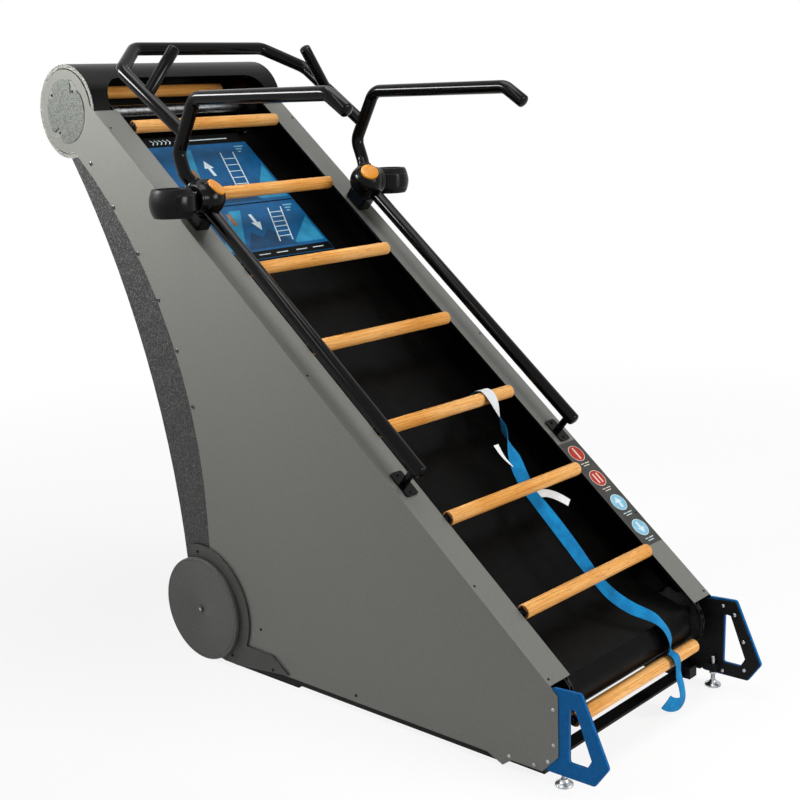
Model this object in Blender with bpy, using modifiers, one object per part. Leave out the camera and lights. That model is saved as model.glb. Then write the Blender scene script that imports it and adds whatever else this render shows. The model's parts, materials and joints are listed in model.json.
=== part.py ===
"""Inclined climbing ladder: an endless belt of wooden rungs on two side chains, in a folded steel frame.

Units are metres, +Z is up, +Y is the way the climber faces and +X is the climber's right.
The origin is on the floor, under the middle of the machine's bounding box.
Outlines of the side sheets are pairs (y, z). Along the climbing slope, s is the distance up the slope
from the front top corner of the side panels, and n is the height square to the climbing face.
"""

import math

import bmesh
import bpy
from mathutils import Matrix, Quaternion, Vector

# Clearances
GAP = 0.0003
RUNNING_GAP = 0.0010

# Climbing face
SLOPE = math.radians(40.0)
CORNER_Y = -0.882
CORNER_Z = 0.236

# Rungs and chains
RUNG_PITCH = 0.3048
LINKS_PER_RUNG = 6
TEETH = 10
STRAIGHT_PITCHES = 43
RUNG_RADIUS = 0.019
RUNG_HALF_LENGTH = 0.281
RUNG_CHAMFER = 0.002
RUNG_SIDES = 16
LOWER_SHAFT_S = 0.0406
FIRST_RUNG_RISE = 0.1791
RUNG_ABOVE_CHAIN = 0.008
CHAIN_OUTSIDE_RUNG = 0.022
CHAIN_INNER_WIDTH = 0.009
CHAIN_BAR = 0.003
CHAIN_HEIGHT = 0.011
ROLLER_RADIUS = 0.004
ROLLER_SIDES = 4
WRAP_ROLLER_SIDES = 6
WRAP_STEPS = 8
STRAND_END_GAP = 0.002
CLIP_THICKNESS = 0.003
CLIP_HALF_WIDTH = 0.012
CLIP_TOP = 0.010

# Sprockets, shafts and bearings
SPROCKET_THICKNESS = 0.005
TOOTH_HEIGHT = 0.0058
TOOTH_VALLEY_TURN = 5.0
TOOTH_CREST_TURN = 13.0
SHAFT_RADIUS = 0.0175
SHAFT_SIDES = 16
HUB_RADIUS = 0.028
HUB_INSIDE_CHAIN = 0.0165
BEARING_RADIUS = 0.045
BEARING_THICKNESS = 0.0132

# Layers across the machine, each measured outward from a layer inside it
SHEET = 0.002
FLANGE_OUTSIDE_RUNG = 0.0085
RAIL_OUTSIDE_CHAIN = 0.0195
PANEL_OUTSIDE_RAIL = 0.048
BRACKET_THICKNESS = 0.008
INNER_PLATE_THICKNESS = 0.004
WHEEL_PLATE_PROUD = 0.0062
WHEEL_THICKNESS = 0.0140

# Frame rails
RAIL_TOP_DEPTH = 0.060
RAIL_DEPTH = 0.075
RAIL_START_S = 0.010
RAIL_PAST_SHAFT = 0.055
FRONT_NOTCH_Y = -0.720
GUIDE_START_S = 0.400
GUIDE_END_S = 1.850
GUIDE_LIP = 0.004
GUIDE_BAR = 0.005
GUIDE_LAP = 0.002
HOUSING_LAP = 0.004
FRONT_NOTCH_LENGTH = 0.30
FRONT_NOTCH_WIDTH = 0.10
FRONT_NOTCH_HEIGHT = 0.60

# Side panels
PANEL_FOOT_Y = -0.834
PANEL_FOOT_Z = 0.080
PANEL_BOTTOM_Z = 0.028
PANEL_REAR_Y = 0.362
TAB_FRONT_Y = -0.741
TAB_TIP_Y = -0.713
TAB_REAR_Y = -0.665
TAB_ROOT_Z = 0.027
TAB_TIP_Z = 0.006
REAR_ARC_Z = 0.4316
REAR_ARC_TOP_TURN = -102.2365
FLANGE_START_S = 0.030
FLANGE_END_GAP = 0.002
HEAD_Y = 0.885
HEAD_Z = 1.603
HEAD_RADIUS = 0.122

# Drum cover and its end plates
DRUM_RADIUS = 0.1365
DRUM_WALL = 0.003
DRUM_RIM_WIDTH = 0.0245
DRUM_STEPS = 40
DRUM_OPENING_INSIDE = 0.058
DRUM_OPENING_TOP_Z = 1.695
DRUM_OPENING_CORNER = 0.060
DRUM_PLATE_RADIUS = 0.093
DRUM_PLATE_PROUD = 0.0003
DRUM_SLOT_BACK = 0.032
DRUM_SLOT_LENGTH = 0.300
DRUM_SLOT_DEPTH = 0.250
DRUM_SLOT_CLEARANCE = 0.001
DRUM_UNDER_LENGTH = 0.190
DRUM_UNDER_HEIGHT = 0.170
DRUM_UNDER_FORWARD = 0.040
DRUM_UNDER_DROP = 0.168
NOTCH_WIDTH = 0.012
NOTCH_LENGTH = 0.034
NOTCH_INSET = 0.012
NOTCH_TURNS = (90.0, 210.0, 330.0)
HOOK_LENGTH = 0.026
HOOK_INSET = 0.017
HOOK_TURN = 0.13
PLATE_BOLT_RADIUS = 0.006
PLATE_BOLT_HEIGHT = 0.003
PLATE_BOLT_CIRCLE = 0.62
PLATE_BOLT_TURNS = (30.0, 150.0, 270.0)

# Rear cover
COVER_BACK_Y = 0.4607
COVER_ARC_Z = 0.1026
COVER_TOP_TURN = -93.5042
COVER_WALL = 0.0025
COVER_LAP = 0.020
COVER_BOTTOM_Z = 0.100
COVER_BEND_Z = 1.380
COVER_CUT_HEIGHT = 0.400
SKIRT_DEPTH = 0.2175
SKIRT_END_S = 2.185
SKIRT_LAP = 0.004

# Inner pan and sign
PAN_DEPTH = 0.100
PAN_FRONT_S = 0.200
PAN_END_S = 2.100
PAN_LAP = 0.004
NOSE_INSIDE_RUNG = 0.003
NOSE_RADIUS = 0.066
NOSE_TURN_TOP = 134.8
NOSE_TURN_FOOT = 265.0
SIGN_THICKNESS = 0.003
SIGN_HALF_WIDTH = 0.210
SIGN_START_S = 1.555
SIGN_END_S = 2.060

# Base
BASE_INSIDE_RAIL = 0.002
BASE_BOTTOM_Z = 0.012
BASE_TOP_Z = 0.045
BASE_FRONT_Y = -0.830
BASE_REAR_Y = 0.430
SKID_FRONT_Y = 0.020
SKID_REAR_Y = 0.340
CROSS_WIDTH = 0.040
CROSS_FRONT_Y = -0.790
CROSS_REAR_Y = 0.405
SKID_WIDTH_SHARE = 0.8
SKID_LAP = 0.002

# Wheel plate and transport wheel
WHEEL_Y = 0.395
WHEEL_Z = 0.158
WHEEL_RADIUS = 0.156
WHEEL_EDGE = 0.004
WHEEL_PLATE_RADIUS = 0.193
WHEEL_PLATE_TURNS = (76.0, 204.0)
WHEEL_PLATE_TOE = [(0.106, 0.076), (0.047, 0.034), (0.262, 0.008), (0.440, 0.016)]
AXLE_RADIUS = 0.007
AXLE_HEAD_RADIUS = 0.0095
AXLE_HEAD_HEIGHT = 0.0030
AXLE_LAP = 0.003

# Front brackets and the plates inside them
BRACKET_OUTLINE = [(-0.984, 0.036), (-1.023, 0.091), (-0.946, 0.259), (-0.863, 0.2535), (-0.841, 0.033)]
BRACKET_WINDOW = [(-0.910, 0.073), (-0.961, 0.074), (-0.975, 0.098), (-0.930, 0.212), (-0.912, 0.212)]
BRACKET_CORNER_RADIUS = 0.010
WINDOW_CORNER_RADIUS = 0.005
INNER_PLATE_FRONT = [(-0.982, 0.039), (-1.019, 0.091), (-0.944, 0.256)]
INNER_PLATE_REAR = (-0.735, 0.040)
INNER_PLATE_WINDOW = [(-0.9085, 0.0715), (-0.962, 0.0725), (-0.9767, 0.098), (-0.931, 0.2137),
                      (-0.9095, 0.2137)]
INNER_PLATE_CORNER_RADIUS = 0.008
INNER_PLATE_TOP_FROM_S = 0.024
INNER_PLATE_TOP_TO_S = 0.170
INNER_PLATE_DEPTH = 0.006

# Levelling feet
FOOT_INSIDE_PANEL = 0.0182
FOOT_Y = -0.884
FOOT_RADIUS = 0.0225
FOOT_HEIGHT = 0.008
FOOT_EDGE = 0.002
FOOT_CONE_TOP_Z = 0.015
STUD_RADIUS = 0.006
STUD_TOP_Z = 0.088
BOSS_BOTTOM_Z = 0.046
BOSS_TOP_Z = 0.066
BOSS_HALF = 0.0125
BOSS_LAP = 0.001

# Handrails, hubs and cup holders
HANDRAIL_INSIDE_PANEL = 0.0395
HANDRAIL_HEIGHT = 0.069
HANDRAIL_RADIUS = 0.019
HANDRAIL_START_S = 0.630
HANDRAIL_STRUT_S = 0.657
STRUT_RADIUS = 0.011
STRUT_PLATE_WIDTH = 0.044
STRUT_PLATE_LENGTH = 0.080
STRUT_PLATE_HEIGHT = 0.005
HUB_INSIDE_HANDRAIL = 0.011
HUB_Y = 0.328
HUB_Z = 1.360
HUB_BALL_RADIUS = 0.052
HUB_FOOT_LENGTH = 0.075
HUB_FOOT_WIDTH = 0.050
HUB_FOOT_OUT = 0.006
HUB_FOOT_DOWN = 0.006
HUB_FOOT_INSIDE = 0.030
SOCKET_DEPTH = 0.022
CUP_OUTSIDE_HUB = 0.114
CUP_Y = 0.339
CUP_BOTTOM_Z = 1.315
CUP_TOP_Z = 1.393
CUP_RIM_RADIUS = 0.053
CUP_BULGE_RADIUS = 0.063
CUP_HOLE_RADIUS = 0.041
CUP_FLOOR = 0.004
BARREL_RADIUS_IN = 0.043
BARREL_RADIUS_OUT = 0.036
COLLAR_THICKNESS = 0.0045
COLLAR_HEIGHT = 0.050
COLLAR_REACH_OUT = 0.046
COLLAR_REACH_BACK = 0.012
CAP_RADIUS = 0.028
CAP_SEAT = 0.036
CAP_HEIGHT = 0.0115
CAP_CROWN = 0.004
CAP_WAY = (0.30, -0.65, 0.70)

# Handlebar
BAR_RADIUS = 0.019
BAR_SIDES = 12
HANDLE_OUTSIDE_HUB = 0.034
HANDLE_FOOT_INSIDE = 0.014
HANDLE_FOOT_Y = 0.352
HANDLE_FOOT_Z = 1.392
HANDLE_KNEE_Y = 0.374
HANDLE_KNEE_Z = 1.424
HANDLE_BACK_Y = 0.396
HANDLE_BACK_Z = 1.483
HANDLE_BEND_Y = 0.313
HANDLE_TOP_Z = 1.630
HANDLE_NOSE_Y = -0.195
HANDLE_TIP_Y = -0.257
HANDLE_TIP_Z = 1.589
HANDLE_BEND_RADIUS = 0.045
BOW_START_Y = 0.366
BOW_START_Z = 1.536
BOW_CORNER_OUTSIDE = 0.005
BOW_CORNER_Y = 0.618
BOW_CORNER_Z = 1.711
BOW_TOP_INSIDE = 0.106
BOW_TOP_Z = 1.774
BOW_Y = 0.697
GRIP_START_OUTSIDE = 0.002
GRIP_START_Y = 0.518
GRIP_START_Z = 1.637
GRIP_END_INSIDE = 0.098
GRIP_END_Y = 0.506
GRIP_END_Z = 1.765
GRIP_RADIUS = 0.0171

# Strap
STRAP_WIDTH = 0.042
STRAP_THICKNESS = 0.0024
STRAP_CLEARANCE = 0.015
STRAP_RUNG_CLEARANCE = 0.011
STRAP_ROUTE = [
    (0.165, 0.872, -0.052, 0.0), (0.165, 0.864, -0.022, 0.0), (0.166, 0.855, 0.008, 0.0),
    (0.167, 0.842, 0.0205, 0.0), (0.167, 0.822, 0.0225, 0.0), (0.165, 0.796, 0.017, 0.0),
    (0.160, 0.760, 0.003, 5.0), (0.155, 0.720, -0.010, 25.0), (0.148, 0.680, -0.021, 60.0),
    (0.135, 0.640, -0.028, 35.0), (0.118, 0.600, -0.032, 12.0), (0.102, 0.560, -0.032, 3.0),
    (0.090, 0.5245, -0.031, 0.0), (0.082, 0.470, -0.026, 0.0), (0.075, 0.400, -0.0235, 0.0),
    (0.070, 0.330, -0.0245, 0.0), (0.067, 0.270, -0.028, 0.0), (0.066, 0.2197, -0.029, 0.0),
    (0.070, 0.160, -0.027, 0.0), (0.088, 0.105, -0.020, 0.0), (0.117, 0.055, -0.009, 0.0),
]
STRAP_OVER_NOSE = [(0.130, 141.0), (0.139, 161.0), (0.146, 182.0)]
STRAP_OVER_RUNG = [(0.150, 95.0), (0.151, 135.0), (0.152, 175.0)]
STRAP_TAIL = [
    (0.153, -0.894, 0.105), (0.156, -0.902, 0.072), (0.152, -0.908, 0.046), (0.140, -0.908, 0.033),
    (0.115, -0.905, 0.036), (0.094, -0.901, 0.046), (0.083, -0.899, 0.055),
]

BLACK = (0.012, 0.012, 0.013)

# Worked out from the sizes above
CHAIN_PITCH = RUNG_PITCH / LINKS_PER_RUNG
PITCH_RADIUS = CHAIN_PITCH / (2.0 * math.sin(math.pi / TEETH))
RUNG_CIRCLE = PITCH_RADIUS + RUNG_ABOVE_CHAIN
SHAFT_N = -RUNG_CIRCLE
STRAIGHT = STRAIGHT_PITCHES * CHAIN_PITCH
UPPER_SHAFT_S = LOWER_SHAFT_S + STRAIGHT
HALF_TURN = TEETH / 2.0 * CHAIN_PITCH
RUNG_COUNT = round((2.0 * STRAIGHT + 2.0 * HALF_TURN) / RUNG_PITCH)
CHAIN_X = RUNG_HALF_LENGTH + CHAIN_OUTSIDE_RUNG
HUB_INNER_X = CHAIN_X - HUB_INSIDE_CHAIN
FLANGE_INNER_X = RUNG_HALF_LENGTH + FLANGE_OUTSIDE_RUNG
NOSE_HALF_WIDTH = RUNG_HALF_LENGTH - NOSE_INSIDE_RUNG
RAIL_INNER_X = CHAIN_X + RAIL_OUTSIDE_CHAIN
BASE_INNER_X = RAIL_INNER_X - BASE_INSIDE_RAIL
PANEL_INNER_X = RAIL_INNER_X + PANEL_OUTSIDE_RAIL
PANEL_OUTER_X = PANEL_INNER_X + SHEET
DRUM_OPENING_HALF = PANEL_INNER_X - DRUM_OPENING_INSIDE
FOOT_X = PANEL_INNER_X - FOOT_INSIDE_PANEL
HANDRAIL_X = PANEL_INNER_X - HANDRAIL_INSIDE_PANEL
HUB_X = HANDRAIL_X - HUB_INSIDE_HANDRAIL
CUP_X = HUB_X + CUP_OUTSIDE_HUB
HANDLE_X = HUB_X + HANDLE_OUTSIDE_HUB
LAYER_OUTER_X = PANEL_INNER_X - GAP
WHEEL_PLATE_OUTER_X = PANEL_OUTER_X + WHEEL_PLATE_PROUD
WHEEL_INNER_X = WHEEL_PLATE_OUTER_X + RUNNING_GAP
AXLE_HEAD_X = WHEEL_INNER_X + WHEEL_THICKNESS + RUNNING_GAP
BRACKET_INNER_X = LAYER_OUTER_X - BRACKET_THICKNESS
INNER_PLATE_OUTER_X = BRACKET_INNER_X - GAP
INNER_PLATE_INNER_X = INNER_PLATE_OUTER_X - INNER_PLATE_THICKNESS
NOTCH_OUTER_X = INNER_PLATE_INNER_X - GAP
BEARING_INNER_X = RAIL_INNER_X + GAP - BEARING_THICKNESS
SHAFT_HALF_LENGTH = RAIL_INNER_X - 2.0 * GAP
SHAFT_BORE = SHAFT_RADIUS + GAP
BEARING_BORE = SHAFT_BORE / math.cos(math.pi / SHAFT_SIDES)
INNER_BAR_X = CHAIN_X - CHAIN_INNER_WIDTH / 2.0 - CHAIN_BAR / 2.0
OUTER_BAR_X = CHAIN_X + CHAIN_INNER_WIDTH / 2.0 + CHAIN_BAR / 2.0
ROLLER_LENGTH = OUTER_BAR_X - INNER_BAR_X + CHAIN_BAR * 0.4
CLIP_X = RUNG_HALF_LENGTH + GAP + CLIP_THICKNESS / 2.0
CLIP_BOTTOM = -(RUNG_ABOVE_CHAIN + CLIP_THICKNESS / 2.0)
UPPER_RUNG = int((STRAIGHT - FIRST_RUNG_RISE) / RUNG_PITCH) + 1
LOWER_RUNG = RUNG_COUNT - 1
DRUM_CLEAR_RADIUS = DRUM_RADIUS + GAP
RAIL_BOTTOM = RAIL_TOP_DEPTH + RAIL_DEPTH
ALONG_X = (0.0, math.pi / 2.0, 0.0)
ALONG_SLOPE = (-math.pi / 2.0, 0.0, 0.0)
UPRIGHT = (0.0, 0.0, 0.0)
SIDE_PLANE = (math.pi / 2.0, 0.0, math.pi / 2.0)
SIDES = tuple((word, math.copysign(1.0, index - 0.5)) for index, word in enumerate(("left", "right")))

# Setting up
for old_object in list(bpy.data.objects):
    bpy.data.objects.remove(old_object, do_unlink=True)
machine = bpy.data.collections.new("climbing_ladder")
cutters = bpy.data.collections.new("cutters")
bpy.context.scene.collection.children.link(machine)
bpy.context.scene.collection.children.link(cutters)


def finish(name, colour, roughness, metallic=0.0):
    """A plain Principled material."""
    material = bpy.data.materials.new(name)
    material.use_nodes = True
    shader = material.node_tree.nodes["Principled BSDF"]
    shader.inputs["Base Color"].default_value = (*colour, 1.0)
    shader.inputs["Roughness"].default_value = roughness
    shader.inputs["Metallic"].default_value = metallic
    return material


OAK = finish("oiled_oak", (0.56, 0.33, 0.14), 0.45)
ZINC = finish("zinc_plated_steel", (0.55, 0.55, 0.53), 0.35, 1.0)
CHAIN_STEEL = finish("oiled_chain_steel", (0.05, 0.05, 0.05), 0.45, 0.8)
GREY_PAINT = finish("metallic_grey_paint", (0.16, 0.16, 0.155), 0.38, 0.4)
BLACK_POWDER = finish("black_powder_coat", BLACK, 0.55)
BLACK_GLOSS = finish("gloss_black_paint", BLACK, 0.18)
BLACK_PLASTIC = finish("matte_black_plastic", (0.02, 0.02, 0.022), 0.6)
BLUE_PAINT = finish("blue_paint", (0.01, 0.10, 0.32), 0.35)
ORANGE_PLASTIC = finish("orange_plastic", (0.75, 0.27, 0.02), 0.35)
BLUE_WEBBING = finish("blue_webbing", (0.02, 0.13, 0.45), 0.85)
BLUE_SIGN = finish("blue_sign", (0.02, 0.16, 0.42), 0.4)


def slope_point(s, n):
    """The (y, z) pair at distance s up the slope and height n off the climbing face."""
    y = CORNER_Y + s * math.cos(SLOPE) - n * math.sin(SLOPE)
    z = CORNER_Z + s * math.sin(SLOPE) + n * math.cos(SLOPE)
    return Vector((y, z))


def slope_coordinates(y, z):
    """The pair (s, n) of the point (y, z)."""
    s = (y - CORNER_Y) * math.cos(SLOPE) + (z - CORNER_Z) * math.sin(SLOPE)
    n = -(y - CORNER_Y) * math.sin(SLOPE) + (z - CORNER_Z) * math.cos(SLOPE)
    return s, n


def add_empty(name, location, rotation=(0.0, 0.0, 0.0), parent=None):
    empty = bpy.data.objects.new(name, None)
    empty.location = location
    empty.rotation_euler = rotation
    empty.parent = parent
    empty.empty_display_size = 0.05
    machine.objects.link(empty)
    return empty


def add_object(name, mesh, material=None, location=(0.0, 0.0, 0.0), rotation=(0.0, 0.0, 0.0), parent=None):
    """Place a mesh. Without a material it is a tool for Booleans."""
    thing = bpy.data.objects.new(name, mesh)
    thing.location = location
    thing.rotation_euler = rotation
    thing.parent = parent
    if material is None:
        cutters.objects.link(thing)
        thing.hide_render = True
        thing.display_type = "WIRE"
    else:
        machine.objects.link(thing)
        mesh.materials.append(material)
    return thing


def shade_round(mesh, angle=35.0):
    """Shade the round faces of a mesh smooth and keep its edges sharp."""
    mesh.shade_smooth()
    mesh.set_sharp_from_angle(angle=math.radians(angle))


def box_mesh(size):
    """A box of the given size about its own middle."""
    mesh = bpy.data.meshes.new("box")
    shape = bmesh.new()
    bmesh.ops.create_cube(shape, size=1.0)
    bmesh.ops.scale(shape, vec=size, verts=shape.verts)
    shape.to_mesh(mesh)
    shape.free()
    return mesh


def cone_mesh(radius_low, radius_high, length, sides):
    """A cone or cylinder along its own Z, about its middle."""
    mesh = bpy.data.meshes.new("cone")
    shape = bmesh.new()
    bmesh.ops.create_cone(shape, cap_ends=True, segments=sides, radius1=radius_low,
                          radius2=radius_high, depth=length)
    shape.to_mesh(mesh)
    shape.free()
    shade_round(mesh)
    return mesh


def tool_box(size, location, parent=None, rotation=(0.0, 0.0, 0.0)):
    return add_object("tool_box", box_mesh(size), None, location, rotation, parent)


def tool_rod(radius, length, location, sides=16, rotation=ALONG_X, parent=None):
    return add_object("tool_rod", cone_mesh(radius, radius, length, sides), None, location, rotation, parent)


def side_rod(radius, x_from, x_to, y, z, sides=16, parent=None):
    """A rod along X between two x values."""
    return tool_rod(radius, abs(x_to - x_from), ((x_from + x_to) / 2.0, y, z), sides, ALONG_X, parent)


def boolean(target, tool, operation):
    modifier = target.modifiers.new(operation.lower(), "BOOLEAN")
    modifier.operation = operation
    modifier.solver = "EXACT"
    modifier.object = tool


def join(target, *tools):
    for tool in tools:
        boolean(target, tool, "UNION")


def cut(target, *tools):
    for tool in tools:
        boolean(target, tool, "DIFFERENCE")


def arc(centre, radius, start, end, steps):
    """Points on a circle between two angles in degrees, both ends included."""
    return [on_circle(centre, radius, start + (end - start) * step / steps) for step in range(steps + 1)]


def rounded(points, radius, steps=4, closed=True):
    """Replace the corners of a path by arcs, in two or three dimensions."""
    corners = [Vector(point) for point in points]
    result = []
    count = len(corners)
    for index, corner in enumerate(corners):
        if not closed and index in (0, count - 1):
            result.append(corner)
            continue
        before = corners[index - 1] - corner
        after = corners[(index + 1) % count] - corner
        half = before.angle(after) / 2.0
        reach = min(radius / math.tan(half), 0.45 * before.length, 0.45 * after.length)
        turn_radius = reach * math.tan(half)
        inward = (before.normalized() + after.normalized()).normalized()
        middle = corner + inward * turn_radius / math.sin(half)
        first = corner + before.normalized() * reach - middle
        last = corner + after.normalized() * reach - middle
        sweep = first.angle(last)
        for step in range(steps + 1):
            share = step / steps
            weight_first = math.sin((1.0 - share) * sweep) / math.sin(sweep)
            weight_last = math.sin(share * sweep) / math.sin(sweep)
            result.append(middle + first * weight_first + last * weight_last)
    return result


def circle_crossing(centre_a, radius_a, centre_b, radius_b):
    """The crossing of two circles that lies on the left of the way from a to b."""
    way = Vector(centre_b) - Vector(centre_a)
    distance = way.length
    along = (radius_a ** 2 - radius_b ** 2 + distance ** 2) / (2.0 * distance)
    across = math.sqrt(radius_a ** 2 - along ** 2)
    unit = way / distance
    return Vector(centre_a) + unit * along + Vector((-unit.y, unit.x)) * across


def on_circle(centre, radius, turn):
    """The point of a circle at an angle in degrees."""
    angle = math.radians(turn)
    return Vector((centre[0] + radius * math.cos(angle), centre[1] + radius * math.sin(angle)))


def upright_arc(foot, top):
    """Centre and radius of the arc that stands upright at its foot and runs through its top."""
    reach = top[0] - foot[0]
    rise = top[1] - foot[1]
    radius = (reach ** 2 + rise ** 2) / (2.0 * reach)
    return Vector((foot[0] + radius, foot[1])), radius


def direction(point, centre):
    """The angle in degrees of a point seen from a centre."""
    return math.degrees(math.atan2(point[1] - centre[1], point[0] - centre[0]))


def mesh_from_curve(curve_object):
    """The closed mesh of a curve object, which is then removed."""
    bpy.context.view_layer.update()
    depsgraph = bpy.context.evaluated_depsgraph_get()
    mesh = bpy.data.meshes.new_from_object(curve_object.evaluated_get(depsgraph))
    shape = bmesh.new()
    shape.from_mesh(mesh)
    bmesh.ops.remove_doubles(shape, verts=shape.verts, dist=0.00001)
    bmesh.ops.recalc_face_normals(shape, faces=shape.faces)
    shape.to_mesh(mesh)
    shape.free()
    mesh.materials.clear()
    shade_round(mesh)
    bpy.data.objects.remove(curve_object, do_unlink=True)
    return mesh


def sheet_mesh(outlines, thickness):
    """A flat sheet with holes: the first outline is its edge, its middle plane is its own XY plane."""
    curve = bpy.data.curves.new("outline", "CURVE")
    curve.dimensions = "2D"
    curve.fill_mode = "BOTH"
    curve.extrude = thickness / 2.0
    for outline in outlines:
        spline = curve.splines.new("POLY")
        spline.points.add(len(outline) - 1)
        for point, place in zip(spline.points, outline):
            point.co = (place[0], place[1], 0.0, 1.0)
        spline.use_cyclic_u = True
    holder = bpy.data.objects.new("outline", curve)
    cutters.objects.link(holder)
    return mesh_from_curve(holder)


def side_sheet(name, outlines, x_from, x_to, material=None):
    """A sheet in the side plane between two x values, from outlines of (y, z) pairs."""
    mesh = sheet_mesh(outlines, abs(x_to - x_from))
    return add_object(name, mesh, material, ((x_from + x_to) / 2.0, 0.0, 0.0), SIDE_PLANE)


def tube(name, points, radius, sides, material=None):
    """A round tube along a path of points in space."""
    curve = bpy.data.curves.new("tube", "CURVE")
    curve.dimensions = "3D"
    curve.bevel_depth = radius
    curve.bevel_resolution = sides // 2 - 2
    curve.use_fill_caps = True
    spline = curve.splines.new("POLY")
    spline.points.add(len(points) - 1)
    for point, place in zip(spline.points, points):
        point.co = (*place, 1.0)
    holder = bpy.data.objects.new("tube", curve)
    cutters.objects.link(holder)
    return add_object(name, mesh_from_curve(holder), material)


def turned(name, profile, steps, material=None, location=(0.0, 0.0, 0.0), rotation=(0.0, 0.0, 0.0),
           parent=None, closed=False):
    """A turned shape about its own Z, from (radius, height) pairs that run down the outer side."""
    mesh = bpy.data.meshes.new("profile")
    shape = bmesh.new()
    vertices = [shape.verts.new((radius, 0.0, height)) for radius, height in profile]
    for first, second in zip(vertices, vertices[1:]):
        shape.edges.new((first, second))
    if closed:
        shape.edges.new((vertices[-1], vertices[0]))
    shape.to_mesh(mesh)
    shape.free()
    thing = add_object(name, mesh, material, location, rotation, parent)
    screw = thing.modifiers.new("turn", "SCREW")
    screw.steps = steps
    screw.render_steps = steps
    screw.use_merge_vertices = True
    screw.merge_threshold = 0.00001
    screw.use_smooth_shade = True
    return thing


slope_frame = add_empty("slope_frame", (0.0, CORNER_Y, CORNER_Z), (SLOPE, 0.0, 0.0))
front_run = add_empty("front_run", (0.0, 0.0, 0.0), parent=slope_frame)
back_run = add_empty("back_run", (0.0, 0.0, 2.0 * SHAFT_N), parent=slope_frame)
upper_axis = add_empty("upper_shaft_axis", (0.0, UPPER_SHAFT_S, SHAFT_N), parent=slope_frame)
lower_axis = add_empty("lower_shaft_axis", (0.0, LOWER_SHAFT_S, SHAFT_N), parent=slope_frame)
bpy.context.view_layer.update()


# Rungs
def rung_place(index):
    """Parent empty and local (s, n) place of a rung, counted up the front run from the lowest."""
    distance = FIRST_RUNG_RISE + index * RUNG_PITCH
    if distance < STRAIGHT:
        return front_run, LOWER_SHAFT_S + distance, 0.0
    distance -= STRAIGHT
    if distance < HALF_TURN:
        turn = math.pi * distance / HALF_TURN
        return upper_axis, RUNG_CIRCLE * math.sin(turn), RUNG_CIRCLE * math.cos(turn)
    distance -= HALF_TURN
    if distance < STRAIGHT:
        return back_run, UPPER_SHAFT_S - distance, 0.0
    distance -= STRAIGHT
    turn = math.pi * (1.0 + distance / HALF_TURN)
    return lower_axis, RUNG_CIRCLE * math.sin(turn), RUNG_CIRCLE * math.cos(turn)


def make_rung(index):
    """A round rung with bevelled ends."""
    half = RUNG_HALF_LENGTH
    upper_half = [(0.0, half), (RUNG_RADIUS - RUNG_CHAMFER, half), (RUNG_RADIUS, half - RUNG_CHAMFER)]
    lower_half = [(radius, -height) for radius, height in reversed(upper_half)]
    parent, s, n = rung_place(index)
    turned(f"rung_{index + 1:02d}", upper_half + lower_half, RUNG_SIDES, OAK, (0.0, s, n), ALONG_X, parent)


for rung_index in range(RUNG_COUNT):
    make_rung(rung_index)


def boxes_mesh(boxes):
    """One mesh of separate boxes, each a (size, middle) pair."""
    mesh = bpy.data.meshes.new("boxes")
    shape = bmesh.new()
    for size, middle in boxes:
        corners = bmesh.ops.create_cube(shape, size=1.0)["verts"]
        bmesh.ops.scale(shape, vec=size, verts=corners)
        bmesh.ops.translate(shape, vec=middle, verts=corners)
    shape.to_mesh(mesh)
    shape.free()
    return mesh


def rods_mesh(rods, sides):
    """One mesh of separate rods along X, each a (radius, length, middle) triple."""
    mesh = bpy.data.meshes.new("rods")
    shape = bmesh.new()
    for radius, length, middle in rods:
        ring = bmesh.ops.create_cone(shape, cap_ends=True, segments=sides, radius1=radius,
                                     radius2=radius, depth=length)["verts"]
        quarter = Matrix.Rotation(math.pi / 2.0, 3, "Y")
        bmesh.ops.rotate(shape, cent=(0.0, 0.0, 0.0), matrix=quarter, verts=ring)
        bmesh.ops.translate(shape, vec=middle, verts=ring)
    shape.to_mesh(mesh)
    shape.free()
    shade_round(mesh)
    return mesh


# Chains
def clip_tools(side, stations, facing, parent, location=(0.0, 0.0, 0.0), turn=0.0):
    """The angle clips that hold the rungs, at some stations along a chain."""
    rotation = (turn, 0.0, 0.0)
    plate_height = CLIP_TOP - CLIP_BOTTOM
    plate_middle = facing * (CLIP_TOP + CLIP_BOTTOM) / 2.0
    leg_length = INNER_BAR_X - CLIP_X
    leg_middle = facing * (CLIP_BOTTOM + CLIP_THICKNESS / 2.0)
    plates = []
    legs = []
    for s in stations:
        plate_size = (CLIP_THICKNESS, 2.0 * CLIP_HALF_WIDTH, plate_height)
        plates.append((plate_size, (side * CLIP_X, s, plate_middle)))
        leg_x = side * (CLIP_X + leg_length / 2.0)
        legs.append(((leg_length, 1.6 * CLIP_HALF_WIDTH, CLIP_THICKNESS), (leg_x, s, leg_middle)))
    return [add_object("tool_clip", boxes_mesh(boxes), None, location, rotation, parent)
            for boxes in (plates, legs)]


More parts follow.
